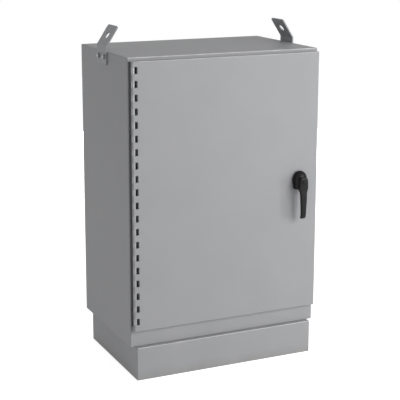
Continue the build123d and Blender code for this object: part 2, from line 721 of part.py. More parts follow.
def latch_rod(side):
    """Flat rod with a slotted foot on the cam's pin and a fork for its roller."""
    x = HANDLE_X + side * ROD_OFFSET
    pin_z = HANDLE_Z + side * PIN_REACH
    axle_z = roller_centre(side)
    foot = block(
        x - ROD_HEAD_W / 2, x + ROD_HEAD_W / 2, ROD_FRONT, ROD_BACK,
        pin_z - ROD_HEAD_H / 2, pin_z + ROD_HEAD_H / 2
    )
    low = min(pin_z, axle_z)
    high = max(pin_z, axle_z)
    shank = block(x - ROD_W / 2, x + ROD_W / 2, ROD_FRONT, ROD_BACK, low, high)
    end = rod_y(x, axle_z, ROD_FRONT, ROD_BACK, ROD_W)
    cheek = ROD_MID - FLANGE_BACK - SHEET
    fork_low = min(axle_z, axle_z - side * ROD_HEAD_W)
    fork_high = max(axle_z, axle_z - side * ROD_HEAD_W)
    fork = block(
        x - ROD_W / 2, x + ROD_W / 2, ROD_MID - cheek, ROD_MID + cheek, fork_low, fork_high
    )
    fork += rod_x(ROD_MID, axle_z, x - ROD_W / 2, x + ROD_W / 2, 2 * cheek)
    rod = foot + shank + end + fork
    gap_half = ROLLER_W / 2 + ROLLER_SIDE_GAP
    gap_reach = ROLLER_D / 2 + SHEET
    ends = (axle_z - side * gap_reach, axle_z + side * ROD_W)
    rod -= block(
        x - gap_half, x + gap_half, ROD_MID - ROLLER_D, ROD_MID + ROLLER_D, min(ends), max(ends)
    )
    slot_half = (CAM_PIN_R - PIN_REACH) / 2 + CAM_PIN_D / 2 + ROD_SLOT_PLAY
    slot_rise = CAM_PIN_D / 2 + ROD_SLOT_PLAY
    rod -= block(
        x - slot_half, x + slot_half, ROD_FRONT - SHEET, ROD_BACK + SHEET,
        pin_z - slot_rise, pin_z + slot_rise
    )
    return rod - rod_x(ROD_MID, axle_z, x - ROD_W, x + ROD_W, ROLLER_AXLE_D)


def roller_axle(side):
    """Pin riveted across the rod's fork."""
    x = HANDLE_X + side * ROD_OFFSET
    return rod_x(ROD_MID, roller_centre(side), x - ROD_W / 2, x + ROD_W / 2, ROLLER_AXLE_D)


def latch_roller(side):
    """Nylon roller that runs up behind the body's flange."""
    x = HANDLE_X + side * ROD_OFFSET
    z = roller_centre(side)
    roller = rod_x(ROD_MID, z, x - ROLLER_W / 2, x + ROLLER_W / 2, ROLLER_D)
    return roller - rod_x(ROD_MID, z, x - ROLLER_W, x + ROLLER_W, ROLLER_AXLE_D + 2 * ROLLER_FIT)


def rod_guide(side):
    """Folded bracket on the door that the rod slides through."""
    x = HANDLE_X + side * ROD_OFFSET
    z = roller_centre(side) - side * GUIDE_BACK_OFF
    half = ROD_W / 2 + GUIDE_PLAY
    deep = ROD_BACK + GUIDE_PLAY + GUIDE_T
    low = z - GUIDE_H / 2
    high = z + GUIDE_H / 2
    guide = block(x - half - GUIDE_T, x + half + GUIDE_T, DOOR_INSIDE, deep, low, high)
    guide -= block(x - half, x + half, DOOR_INSIDE - SHEET, deep - GUIDE_T, low - SHEET, high + SHEET)
    guide += block(
        x - half - GUIDE_T, x + half + GUIDE_T,
        ROD_FRONT - GUIDE_PLAY - GUIDE_T, ROD_FRONT - GUIDE_PLAY, low, high
    )
    foot_end = x - half - GUIDE_T - GUIDE_FOOT
    guide += block(foot_end, x - half, DOOR_INSIDE, DOOR_INSIDE + GUIDE_T, low, high)
    return guide


# Lifting eyes: bent flat bar, bolted to the outside of each side.
def lifting_eye():
    """The left eye; the right one is its mirror image."""
    tilt = math.radians(EYE_TILT)
    bend_z = TOP + EYE_ABOVE
    out_x = LEFT - EYE_T
    half_turn = math.tan(tilt / 2) * EYE_T
    tip_x = out_x + EYE_TAB * math.sin(tilt)
    tip_z = bend_z + EYE_TAB * math.cos(tilt)
    side = Polyline(
        (out_x, TOP - EYE_BELOW),
        (LEFT, TOP - EYE_BELOW),
        (LEFT, bend_z - half_turn),
        (tip_x + EYE_T * math.cos(tilt), tip_z - EYE_T * math.sin(tilt)),
        (tip_x, tip_z),
        (out_x, bend_z),
        close=True,
    )
    side_view = Plane(origin=(0, -EYE_W / 2, 0), x_dir=(1, 0, 0), z_dir=(0, -1, 0))
    bar = extrude(side_view * make_face(side), amount=-EYE_W)
    along = (math.sin(tilt), 0, math.cos(tilt))
    foot_face = bar.faces().sort_by(Axis.Z)[0]
    tip_face = bar.faces().sort_by(Axis((0, 0, 0), along))[-1]
    corners = foot_face.edges().sort_by(SortBy.LENGTH)[:2] + tip_face.edges().sort_by(SortBy.LENGTH)[:2]
    bar = fillet(corners, EYE_CORNER)
    across = (math.cos(tilt), 0, -math.sin(tilt))
    hole_at = (out_x + EYE_HOLE_AT * along[0], 0, bend_z + EYE_HOLE_AT * along[2])
    hole_plane = Plane(origin=hole_at, x_dir=(0, 1, 0), z_dir=across)
    bar -= extrude(hole_plane * Circle(EYE_HOLE_D / 2), amount=2 * EYE_T, both=True)
    for y in eye_bolt_places():
        bar -= rod_x(y, TOP - EYE_BOLT_DROP, LEFT - 2 * EYE_T, LEFT + EYE_T, BOLT_D + HOLE_PLAY)
    return bar


def lifting_eye_bolts():
    """Hexagon bolts with washers outside and nuts inside, two to an eye."""
    z = TOP - EYE_BOLT_DROP
    seat = LEFT - EYE_T
    end = LEFT + SHEET + NUT_H + SHEET
    outward = Plane(origin=(seat - WASHER_T, 0, z), z_dir=(-1, 0, 0))
    inward = Plane(origin=(LEFT + SHEET, 0, z), z_dir=(1, 0, 0))
    head = extrude(outward * hexagon(BOLT_HEAD_AF), amount=BOLT_HEAD_H)
    nut = extrude(inward * hexagon(BOLT_HEAD_AF), amount=NUT_H)
    bolts = []
    for y in eye_bolt_places():
        bolt = rod_x(y, z, seat - WASHER_T, end, BOLT_D) + rod_x(y, z, seat - WASHER_T, seat, WASHER_D)
        bolt = bolt + Pos(0, y, 0) * head + Pos(0, y, 0) * nut
        bolts.append(bolt)
        bolts.append(mirror_x(bolt))
    return bolts


# Mounting panel on four collar studs in front of the back wall.
def stud_places():
    """X and Z of the four studs."""
    x = PANEL_W / 2 - STUD_INSET
    return [(sx * x, z) for sx in (-1, 1) for z in (PANEL_BOTTOM + STUD_INSET, PANEL_TOP - STUD_INSET)]


def mounting_panel():
    half = PANEL_W / 2
    panel = block(-half, half, PANEL_FRONT, PANEL_BACK, PANEL_BOTTOM, PANEL_TOP)
    for side in (-1, 1):
        inner = side * (half - PANEL_SHEET)
        outer = side * half
        panel += block(
            min(inner, outer), max(inner, outer), PANEL_FRONT - PANEL_EDGE, PANEL_BACK,
            PANEL_BOTTOM, PANEL_TOP
        )
    for x, z in stud_places():
        panel -= rod_y(x, z, PANEL_FRONT - SHEET, PANEL_BACK + SHEET, STUD_D + HOLE_PLAY)
    return panel


def panel_studs():
    studs = []
    for x, z in stud_places():
        collar = rod_y(x, z, PANEL_BACK, INNER_BACK, STUD_COLLAR_D)
        studs.append(collar + rod_y(x, z, INNER_BACK - STUD_LEN, INNER_BACK, STUD_D))
    return studs


def panel_nuts():
    seat = Plane(origin=(0, PANEL_FRONT, 0), z_dir=(0, -1, 0))
    nut = extrude(seat * hexagon(PANEL_NUT_AF), amount=PANEL_NUT_H)
    bore = rod_y(0, 0, PANEL_FRONT - 2 * PANEL_NUT_H, PANEL_FRONT + SHEET, STUD_D)
    return [Pos(x, 0, z) * (nut - bore) for x, z in stud_places()]


# Rack: two cross bars between the side walls carry a pair of punched rails.
def cross_bar(low):
    """Channel across the cabinet, open to the back."""
    wall = SHEET
    bar = block(LEFT + wall, RIGHT - wall, RAIL_BACK, RAIL_BACK + BAR_D, low, low + BAR_H)
    return bar - block(
        LEFT, RIGHT, RAIL_BACK + wall, RAIL_BACK + BAR_D + wall, low + wall, low + BAR_H - wall
    )


def rack_unit_z(units):
    """Height of the bottom of a rack unit, counted from the first free one."""
    return RACK_BASE + units * RACK_UNIT


def rail_hole_heights():
    """Heights of the fixing holes: two to each rack unit, set in from its ends alike."""
    inset = (RACK_UNIT - RAIL_HOLE_STEP) / 2
    heights = []
    count = int((BAR_HIGH - RACK_BASE) / RACK_UNIT)
    for n in range(count):
        heights += [rack_unit_z(n) + inset, rack_unit_z(n) + inset + RAIL_HOLE_STEP]
    return heights


def rail_hole(side, z):
    """A fixing hole through a rail's face and an ear in front of it."""
    x = side * RACK_PITCH_X / 2
    return rod_y(x, z, RAIL_FRONT - 2 * SHEET, RAIL_FRONT + 2 * RAIL_SHEET, RAIL_HOLE_D)


def rack_rail():
    """The right rail: a folded Z with a face for equipment and a foot on the cross bars."""
    face_in = RACK_PITCH_X / 2 - RAIL_FACE_W / 2
    face_out = RACK_PITCH_X / 2 + RAIL_FACE_W / 2
    low = BAR_LOW
    high = BAR_HIGH + BAR_H
    rail = block(face_in, face_out, RAIL_FRONT, RAIL_FRONT + RAIL_SHEET, low, high)
    rail += block(face_out - RAIL_SHEET, face_out, RAIL_FRONT, RAIL_BACK, low, high)
    rail += block(
        face_out - RAIL_SHEET, face_out + RAIL_FOOT_W, RAIL_BACK - RAIL_SHEET, RAIL_BACK, low, high
    )
    for z in rail_hole_heights():
        rail -= rail_hole(1, z)
    return rail


# Patch panels with adapters, and the shelf with splice trays.
def adapter_places():
    first = -(ADAPTER_COUNT - 1) / 2 * ADAPTER_PITCH
    return [first + n * ADAPTER_PITCH for n in range(ADAPTER_COUNT)]


def patch_panel(units):
    """Folded chassis with ears and a window for each adapter."""
    low = rack_unit_z(units) + CHASSIS_PLAY / 2
    high = rack_unit_z(units + CHASSIS_UNITS) - CHASSIS_PLAY / 2
    face = block(-PANEL_FACE_W / 2, PANEL_FACE_W / 2, RAIL_FRONT - SHEET, RAIL_FRONT, low, high)
    body = block(-CHASSIS_W / 2, CHASSIS_W / 2, RAIL_FRONT - SHEET, RAIL_FRONT + CHASSIS_D, low, high)
    body -= block(
        -CHASSIS_W / 2 + SHEET, CHASSIS_W / 2 - SHEET, RAIL_FRONT, RAIL_FRONT + CHASSIS_D - SHEET,
        low + SHEET, high + SHEET
    )
    panel = face + body
    middle = (low + high) / 2
    for x in adapter_places():
        panel -= block(
            x - ADAPTER_W / 2, x + ADAPTER_W / 2, RAIL_FRONT - 2 * SHEET, RAIL_FRONT + SHEET,
            middle - ADAPTER_H / 2, middle + ADAPTER_H / 2
        )
    for side in (-1, 1):
        for z in (rail_hole_heights()[2 * units], rail_hole_heights()[2 * (units + CHASSIS_UNITS) - 1]):
            panel -= rail_hole(side, z)
    return panel


def adapters(units):
    """A row of twin fibre adapters, each with two sockets to the front."""
    middle = rack_unit_z(units) + CHASSIS_UNITS * RACK_UNIT / 2
    front = RAIL_FRONT - SHEET - ADAPTER_OUT
    row = []
    for x in adapter_places():
        half_w = ADAPTER_W / 2 - ADAPTER_FIT
        half_h = ADAPTER_H / 2 - ADAPTER_FIT
        adapter = block(
            x - half_w, x + half_w, front, front + ADAPTER_D, middle - half_h, middle + half_h
        )
        for side in (-1, 1):
            centre = x + side * ADAPTER_W / 4
            adapter -= block(
                centre - SOCKET_W / 2, centre + SOCKET_W / 2, front - SHEET, front + SOCKET_DEPTH,
                middle - SOCKET_H / 2, middle + SOCKET_H / 2
            )
        row.append(adapter)
    return row


def splice_shelf():
    """Shallow shelf on the rails with a lip round it."""
    low = rack_unit_z(SHELF_UNIT) + CHASSIS_PLAY / 2
    high = rack_unit_z(SHELF_UNIT + 1) - CHASSIS_PLAY / 2
    ears = block(-PANEL_FACE_W / 2, PANEL_FACE_W / 2, RAIL_FRONT - SHEET, RAIL_FRONT, low, high)
    ears -= block(
        -CHASSIS_W / 2, CHASSIS_W / 2, RAIL_FRONT - 2 * SHEET, RAIL_FRONT + SHEET,
        low + SHELF_LIP, high + SHEET
    )
    tub = block(
        -CHASSIS_W / 2, CHASSIS_W / 2, RAIL_FRONT - SHEET, RAIL_FRONT + SHELF_D, low, low + SHELF_LIP
    )
    tub -= block(
        -CHASSIS_W / 2 + SHEET, CHASSIS_W / 2 - SHEET, RAIL_FRONT, RAIL_FRONT + SHELF_D - SHEET,
        low + SHEET, low + 2 * SHELF_LIP
    )
    shelf = ears + tub
    for side in (-1, 1):
        for z in (rail_hole_heights()[2 * SHELF_UNIT], rail_hole_heights()[2 * SHELF_UNIT + 1]):
            shelf -= rail_hole(side, z)
    return shelf


def tray_floor():
    """Height of the shelf's plate, on which the trays stand."""
    return rack_unit_z(SHELF_UNIT) + CHASSIS_PLAY / 2 + SHEET


def tray_middle():
    """Y of the middle of the trays on their shelf."""
    return RAIL_FRONT + SHELF_D / 2


def splice_tray(index):
    """Shallow moulded tray with rounded ends and a ring to wind the fibre round."""
    low = tray_floor() + index * TRAY_H
    y = tray_middle()
    tray = block(-TRAY_W / 2, TRAY_W / 2, y - TRAY_D / 2, y + TRAY_D / 2, low, low + TRAY_H)
    tray = fillet(tray.edges().filter_by(Axis.Z), TRAY_CORNER)
    half_w = TRAY_W / 2 - TRAY_WALL
    half_d = TRAY_D / 2 - TRAY_WALL
    room = block(-half_w, half_w, y - half_d, y + half_d, low + TRAY_WALL, low + 2 * TRAY_H)
    tray -= fillet(room.edges().filter_by(Axis.Z), TRAY_CORNER - TRAY_WALL)
    tray += rod_z(0, y, low, low + TRAY_H, TRAY_HUB_D)
    tray -= rod_z(0, y, low + TRAY_WALL, low + 2 * TRAY_H, TRAY_HUB_D - 2 * TRAY_WALL)
    tray += rod_z(0, y, low, low + TRAY_H, TRAY_BOSS_D)
    return tray - rod_z(0, y, low - TRAY_H, low + 2 * TRAY_H, TRAY_STUD_D + HOLE_PLAY)


def tray_stud():
    """Stud and hand nut that hold the stack of trays down."""
    low = tray_floor()
    high = low + TRAY_COUNT * TRAY_H
    y = tray_middle()
    stud = rod_z(0, y, low, high + TRAY_H, TRAY_STUD_D)
    return stud + rod_z(0, y, high, high + TRAY_H / 2, WING_NUT_D)


# Slack spools that patch leads are wound round, on arms from the rails' feet.
def slack_spool(side, units):
    """One spool with its rim, and the arm that carries it."""
    x = side * (RACK_PITCH_X / 2 + SPOOL_OUT)
    z = rack_unit_z(units)
    front = RAIL_FRONT
    back = front + SPOOL_LEN
    spool = rod_y(x, z, front, back, SPOOL_D) + rod_y(x, z, front, front + SPOOL_RIM_T, SPOOL_RIM_D)
    return spool - rod_y(x, z, front - SHEET, back - SPOOL_RIM_T, SPOOL_BORE_D)


def spool_arm(side, units):
    """Flat arm from the rail's foot to the back of a spool."""
    x = side * (RACK_PITCH_X / 2 + SPOOL_OUT)
    z = rack_unit_z(units)
    back = RAIL_FRONT + SPOOL_LEN
    inner = side * (RACK_PITCH_X / 2 + RAIL_FACE_W / 2 + SPOOL_ARM_T)
    half = SPOOL_BORE_D / 2
    arm = block(min(inner, x), max(inner, x), back, back + SPOOL_ARM_T, z - half, z + half)
    arm += rod_y(x, z, back, back + SPOOL_ARM_T, SPOOL_BORE_D)
    edge = side * (RACK_PITCH_X / 2 + RAIL_FACE_W / 2)
    arm += block(
        min(edge, inner), max(edge, inner), RAIL_BACK, back + SPOOL_ARM_T, z - half, z + half
    )
    return arm


# Earth bar on insulating posts, low on the mounting panel.
def earth_bar():
    low = BOTTOM + EARTH_RISE
    front = PANEL_FRONT - EARTH_STANDOFF - EARTH_T
    bar = block(-EARTH_W / 2, EARTH_W / 2, front, front + EARTH_T, low, low + EARTH_H)
    for x in earth_screw_places():
        bar -= rod_y(x, low + EARTH_H / 2, front - SHEET, front + EARTH_T + SHEET, EARTH_HOLE_D)
    return bar


def earth_screw_places():
    first = -(EARTH_SCREWS - 1) / 2 * EARTH_SCREW_PITCH
    return [first + n * EARTH_SCREW_PITCH for n in range(EARTH_SCREWS)]


def earth_posts():
    z = BOTTOM + EARTH_RISE + EARTH_H / 2
    reach = EARTH_W / 2 - EARTH_POST_D / 2
    front = PANEL_FRONT - EARTH_STANDOFF
    return [rod_y(side * reach, z, front, PANEL_FRONT, EARTH_POST_D) for side in (-1, 1)]


# Cable entry: a bolted plate over the floor's cut-out, with two open glands and a row of sealing plugs.
def gland_plate():
    plate = floor_way(PLATE_LAP, PLATE_UNDER, PLATE_TOP)
    low = PLATE_UNDER - PLATE_T
    high = PLATE_TOP + PLATE_T
    for x, y in plate_bolt_places():
        plate -= rod_z(x, y, low, high, PLATE_BOLT_D + HOLE_PLAY)
    for x in plug_places():
        plate -= rod_z(x, PLUG_Y, low, high, PLUG_D + HOLE_PLAY)
    for side in (-1, 1):
        plate -= rod_z(side * GLAND_SPACING / 2, GLAND_Y, low, high, GLAND_D + HOLE_PLAY)
    return plate


def gland_plate_bolts():
    """Bolts with nuts that clamp the gland plate to the floor."""
    head = extrude(hexagon(PLATE_BOLT_AF), amount=PLATE_HEAD_H)
    nut = extrude(hexagon(PLATE_BOLT_AF), amount=PLATE_NUT_H)
    bolts = []
    for x, y in plate_bolt_places():
        bolt = rod_z(x, y, BOTTOM - PLATE_NUT_H - PLATE_T, PLATE_TOP, PLATE_BOLT_D)
        bolt += Pos(x, y, PLATE_TOP) * head
        bolt += Pos(x, y, BOTTOM - PLATE_NUT_H) * nut
        bolts.append(bolt)
    return bolts


def cable_gland(side):
    """Gland with its lock nut below the plate and its domed nut above."""
    x = side * GLAND_SPACING / 2
    gland = rod_z(x, GLAND_Y, PLATE_UNDER - GLAND_BELOW, PLATE_TOP + GLAND_DOME_H, GLAND_D)
    nose = gland.edges().sort_by(Axis.Z)[-1]
    gland = fillet(nose, GLAND_NUT_H)
    nut = extrude(hexagon(GLAND_FLANGE_D), amount=GLAND_NUT_H)
    gland += Pos(x, GLAND_Y, PLATE_TOP) * nut
    gland += Pos(x, GLAND_Y, PLATE_UNDER - GLAND_NUT_H) * nut
    low = PLATE_UNDER - 2 * GLAND_BELOW
    high = PLATE_TOP + 2 * GLAND_DOME_H
    return gland - rod_z(x, GLAND_Y, low, high, GLAND_BORE_D)


def plug_places():
    """X positions of the sealing plugs."""
    first = -(PLUG_COUNT - 1) / 2 * PLUG_SPACING
    return [first + n * PLUG_SPACING for n in range(PLUG_COUNT)]


def sealing_plugs():
    """Push-in plugs that close the spare cable holes."""
    plugs = []
    for x in plug_places():
        plug = rod_z(x, PLUG_Y, PLATE_UNDER - PLUG_BELOW, PLATE_TOP, PLUG_D)
        plug += rod_z(x, PLUG_Y, PLATE_TOP, PLATE_TOP + PLUG_RIM_T, PLUG_RIM_D)
        plugs.append(plug)
    return plugs


def all_nodes():
    """Every piece by its name."""
    eye = lifting_eye()
    rail = rack_rail()
    nodes = {
        "cabinet_body": cabinet_body(),
        "plinth": plinth(),
        "plinth_bolts": Compound(plinth_bolts()),
        "hinge_body_leaf": hinge_body_leaf(),
        "hinge_pin": hinge_pin(),
        "lifting_eye_left": eye,
        "lifting_eye_right": mirror_x(eye),
        "lifting_eye_bolts": Compound(lifting_eye_bolts()),
        "mounting_panel": mounting_panel(),
        "panel_studs": Compound(panel_studs()),
        "panel_nuts": Compound(panel_nuts()),
        "cross_bar_lower": cross_bar(BAR_LOW),
        "cross_bar_upper": cross_bar(BAR_HIGH),
        "rack_rail_right": rail,
        "rack_rail_left": mirror_x(rail),
        "splice_shelf": splice_shelf(),
        "tray_stud": tray_stud(),
        "earth_bar": earth_bar(),
        "earth_posts": Compound(earth_posts()),
        "gland_plate": gland_plate(),
        "gland_plate_bolts": Compound(gland_plate_bolts()),
        "cable_gland_left": cable_gland(-1),
        "cable_gland_right": cable_gland(1),
        "sealing_plugs": Compound(sealing_plugs()),
        "door_panel": door_panel(),
        "hinge_door_leaf": hinge_door_leaf(),
        "door_gasket": door_gasket(),
        "door_stiffener": door_stiffener(),
        "handle_collar": handle_collar(),
        "shaft_bushing": shaft_bushing(),
        "rod_guide_upper": rod_guide(1),
        "rod_guide_lower": rod_guide(-1),
        "door_handle": door_handle(),
        "handle_shaft": handle_shaft(),
        "latch_cam": latch_cam(),
        "latch_rod_upper": latch_rod(1),
        "latch_rod_lower": latch_rod(-1),
        "roller_axle_upper": roller_axle(1),
        "roller_axle_lower": roller_axle(-1),
        "latch_roller_upper": latch_roller(1),
        "latch_roller_lower": latch_roller(-1),
    }
    for number, units in enumerate(PATCH_START_UNITS, start=1):
        nodes[f"patch_panel_{number}"] = patch_panel(units)
        nodes[f"adapter_row_{number}"] = Compound(adapters(units))
    for index in range(TRAY_COUNT):
        nodes[f"splice_tray_{index + 1}"] = splice_tray(index)
    for number, units in enumerate(SPOOL_UNITS, start=1):
        for side, word in ((-1, "left"), (1, "right")):
            nodes[f"slack_spool_{word}_{number}"] = slack_spool(side, units)
            nodes[f"spool_arm_{word}_{number}"] = spool_arm(side, units)
    return nodes


os.makedirs("parts", exist_ok=True)
for name, shape in all_nodes().items():
    export_step(shape, f"parts/{name}.step")
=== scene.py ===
import math
import bmesh
import bpy
from mathutils import Matrix, Vector


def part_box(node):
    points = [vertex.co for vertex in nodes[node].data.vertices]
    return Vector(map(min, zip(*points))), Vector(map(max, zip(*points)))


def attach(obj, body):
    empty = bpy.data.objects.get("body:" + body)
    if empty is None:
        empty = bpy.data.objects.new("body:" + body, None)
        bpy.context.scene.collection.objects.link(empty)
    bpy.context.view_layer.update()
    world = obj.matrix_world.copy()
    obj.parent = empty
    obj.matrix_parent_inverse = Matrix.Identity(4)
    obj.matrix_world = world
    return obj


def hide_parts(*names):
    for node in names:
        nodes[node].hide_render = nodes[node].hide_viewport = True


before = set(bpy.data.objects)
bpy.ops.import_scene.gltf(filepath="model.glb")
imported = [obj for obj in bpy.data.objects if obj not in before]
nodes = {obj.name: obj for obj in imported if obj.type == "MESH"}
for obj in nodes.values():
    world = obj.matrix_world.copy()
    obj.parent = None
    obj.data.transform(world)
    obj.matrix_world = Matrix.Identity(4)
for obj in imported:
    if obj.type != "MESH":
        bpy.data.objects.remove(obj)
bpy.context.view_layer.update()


# Plinth: a ring folded from 2.5 mm steel sheet, with flanges turned in at its top and foot. It is
# degreased, sprayed and baked in the same satin grey enamel as the cabinet that it carries.
PLINTH_SHEET = 0.0025
ENAMEL_SHADE = "#A1A2A4"
ENAMEL_LIGHT = "#AAAAAC"
ENAMEL_PEEL_MM = 2.2
ENAMEL_PEEL_DEPTH = 0.00003
ENAMEL_CLOUD_MM = 160.0
ENAMEL_ROUGHNESS = (0.50, 0.58)
SHEET_WAVE_MM = 260.0
SHEET_WAVE_DEPTH = 0.0012
# Painted highlight: the pale colour and its strength that the front bends facing up are painted with, for
# the gleam of the light on them.
ENAMEL_PAINTED_HIGHLIGHT = "#F0F0F1"
HIGHLIGHT_PATCH_MM = 45.0
PAINTED_HIGHLIGHT_STRENGTH = 1.5
BEND_TILT = 0.68
BEND_OUTER = 0.42
BEND_INNER = 0.12
FORWARD_START = -0.1
FORWARD_FULL = -0.4
FOOT_DUST = "#8F8C86"
DUST_FULL_BELOW = 0.02
DUST_GONE_ABOVE = 0.065
DUST_RAGGEDNESS = 0.05
DUST_SHARE = 0.35


def linear(hex_colour):
    """An sRGB hex colour as linear RGBA."""
    shares = [int(hex_colour[n:n + 2], 16) / 255 for n in (1, 3, 5)]
    return tuple(s / 12.92 if s <= 0.04045 else ((s + 0.055) / 1.055) ** 2.4 for s in shares) + (1.0,)


def per_metre(size_mm):
    """The texture scale that gives a pattern this real size."""
    return 1000.0 / size_mm


def new_finish(name, roughness, metallic=0.0, specular=0.5):
    """A finish with its shader's constants set: the material, the shader and its coordinates."""
    material = bpy.data.materials.new(name)
    material.use_nodes = True
    shader = material.node_tree.nodes["Principled BSDF"]
    shader.inputs["Roughness"].default_value = roughness
    shader.inputs["Metallic"].default_value = metallic
    shader.inputs["Specular IOR Level"].default_value = specular
    coordinates = material.node_tree.nodes.new("ShaderNodeTexCoord").outputs["Object"]
    return material, shader, coordinates


def add_node(owner, kind, inputs, **properties):
    """Adds one node: properties on the node itself, values or links on its input sockets."""
    tree = getattr(owner, "node_tree", owner)
    node = tree.nodes.new(kind)
    for key, value in properties.items():
        setattr(node, key, value)
    for key, value in inputs.items():
        for one in value if isinstance(value, list) else [value]:
            if isinstance(one, bpy.types.NodeSocket):
                tree.links.new(one, node.inputs[key])
            else:
                node.inputs[key].default_value = one
    return node


def feed(material, shader, **sockets):
    """Links sockets to the shader's own, with underscores for the spaces in their names."""
    for name, socket in sockets.items():
        material.node_tree.links.new(socket, shader.inputs[name.replace("_", " ")])


def dress(material, *names):
    """Gives CAD pieces their finish."""
    for name in names:
        for slot in nodes[name].material_slots:
            slot.material = material


# Baked enamel: a soft even sheen with a faint orange peel, broad clouds a shade apart where the
# spray was thicker, and a slow waviness of the sheet that bends long reflections. Splashes dull
# the foot of the plinth.
enamel, enamel_shader, at = new_finish("satin_grey_enamel", 0.54, specular=0.2)
clouds = add_node(enamel, "ShaderNodeTexNoise", {
    "Vector": at, "Scale": per_metre(ENAMEL_CLOUD_MM), "Detail": 3.0,
})
peel = add_node(enamel, "ShaderNodeTexNoise", {
    "Vector": at, "Scale": per_metre(ENAMEL_PEEL_MM), "Detail": 1.0,
})
wave = add_node(enamel, "ShaderNodeTexNoise", {
    "Vector": at, "Scale": per_metre(SHEET_WAVE_MM), "Detail": 0.0,
})
grey = add_node(enamel, "ShaderNodeMix", {
    "Factor": clouds.outputs["Fac"], "A": linear(ENAMEL_SHADE), "B": linear(ENAMEL_LIGHT),
}, data_type="RGBA")
height = add_node(enamel, "ShaderNodeSeparateXYZ", {"Vector": at})
dust_edge = add_node(enamel, "ShaderNodeMath", {
    0: clouds.outputs["Fac"], 1: DUST_RAGGEDNESS, 2: height.outputs["Z"],
}, operation="MULTIPLY_ADD")
dust = add_node(enamel, "ShaderNodeMapRange", {
    "Value": dust_edge.outputs[0], "From Min": DUST_FULL_BELOW, "From Max": DUST_GONE_ABOVE,
    "To Min": DUST_SHARE, "To Max": 0.0,
})
dusty = add_node(enamel, "ShaderNodeMix", {
    "Factor": dust.outputs[0], "A": grey.outputs["Result"], "B": linear(FOOT_DUST),
}, data_type="RGBA")

# Painted highlight: the front bends that face up are painted paler, in patches, for the gleam of the light
# along them.
tilt = add_node(enamel, "ShaderNodeSeparateXYZ", {"Vector": at.node.outputs["Normal"]})
from_bend = add_node(enamel, "ShaderNodeMath", {0: tilt.outputs["Z"], 1: -BEND_TILT}, operation="ADD")
off_bend = add_node(enamel, "ShaderNodeMath", {0: from_bend.outputs[0]}, operation="ABSOLUTE")
bend_highlight = add_node(enamel, "ShaderNodeMapRange", {
    "Value": off_bend.outputs[0], "From Min": BEND_OUTER, "From Max": BEND_INNER,
    "To Min": 0.0, "To Max": PAINTED_HIGHLIGHT_STRENGTH,
})
forward_bend = add_node(enamel, "ShaderNodeMapRange", {
    "Value": tilt.outputs["Y"], "From Min": FORWARD_START, "From Max": FORWARD_FULL,
    "To Min": 0.0, "To Max": 1.0,
})
highlight_patches = add_node(enamel, "ShaderNodeTexNoise", {
    "Vector": at, "Scale": per_metre(HIGHLIGHT_PATCH_MM), "Detail": 2.0,
})
front_bend_highlight = add_node(enamel, "ShaderNodeMath", {
    0: bend_highlight.outputs[0], 1: forward_bend.outputs[0],
}, operation="MULTIPLY")
highlight_shown = add_node(enamel, "ShaderNodeMath", {
    0: front_bend_highlight.outputs[0], 1: highlight_patches.outputs["Fac"],
}, operation="MULTIPLY", use_clamp=True)
with_painted_highlight = add_node(enamel, "ShaderNodeMix", {
    "Factor": highlight_shown.outputs[0], "A": dusty.outputs["Result"], "B": linear(ENAMEL_PAINTED_HIGHLIGHT),
}, data_type="RGBA")
sheen = add_node(enamel, "ShaderNodeMapRange", {
    "Value": clouds.outputs["Fac"], "To Min": ENAMEL_ROUGHNESS[0], "To Max": ENAMEL_ROUGHNESS[1],
})
waved = add_node(enamel, "ShaderNodeBump", {"Height": wave.outputs["Fac"], "Distance": SHEET_WAVE_DEPTH})
peeled = add_node(enamel, "ShaderNodeBump", {
    "Height": peel.outputs["Fac"], "Distance": ENAMEL_PEEL_DEPTH, "Normal": waved.outputs["Normal"],
})
feed(enamel, enamel_shader, Base_Color=with_painted_highlight.outputs["Result"], Roughness=sheen.outputs[0],
     Normal=peeled.outputs["Normal"])
dress(enamel, "plinth")


# Cabinet body: one shell of 2 mm sheet, folded and welded, with the seams ground flush before
# painting, so the enamel runs over it unbroken.
BODY_SHEET = 0.002
dress(enamel, "cabinet_body")
body_low, body_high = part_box("cabinet_body")
body_floor = body_low.z + BODY_SHEET


# Bolts, studs and nuts: rolled steel, electroplated with bright zinc and clear passivated, which
# leaves a cool metal with faint blue and straw tints. Its grain is finer than a tenth of a
# millimetre, and is drawn about a millimetre wide so that it shows.
ZINC_COOL = "#A5A9AE"
ZINC_STRAW = "#B2AFA3"
ZINC_TINT_MM = 9.0
ZINC_GRAIN_MM = 0.9
ZINC_GRAIN_DEPTH = 0.00004
ZINC_ROUGHNESS = (0.26, 0.44)
CREASE_ANGLE = math.radians(38.0)
zinc, zinc_shader, at = new_finish("bright_zinc_plated_steel", 0.34, metallic=1.0)
tint = add_node(zinc, "ShaderNodeTexNoise", {
    "Vector": at, "Scale": per_metre(ZINC_TINT_MM), "Detail": 2.0,
})
grain = add_node(zinc, "ShaderNodeTexNoise", {
    "Vector": at, "Scale": per_metre(ZINC_GRAIN_MM), "Detail": 2.0,
})
plated = add_node(zinc, "ShaderNodeMix", {
    "Factor": tint.outputs["Fac"], "A": linear(ZINC_COOL), "B": linear(ZINC_STRAW),
}, data_type="RGBA")
plating_sheen = add_node(zinc, "ShaderNodeMapRange", {
    "Value": grain.outputs["Fac"], "To Min": ZINC_ROUGHNESS[0], "To Max": ZINC_ROUGHNESS[1],
})
pitted = add_node(zinc, "ShaderNodeBump", {"Height": grain.outputs["Fac"], "Distance": ZINC_GRAIN_DEPTH})
feed(zinc, zinc_shader, Base_Color=plated.outputs["Result"], Roughness=plating_sheen.outputs[0],
     Normal=pitted.outputs["Normal"])


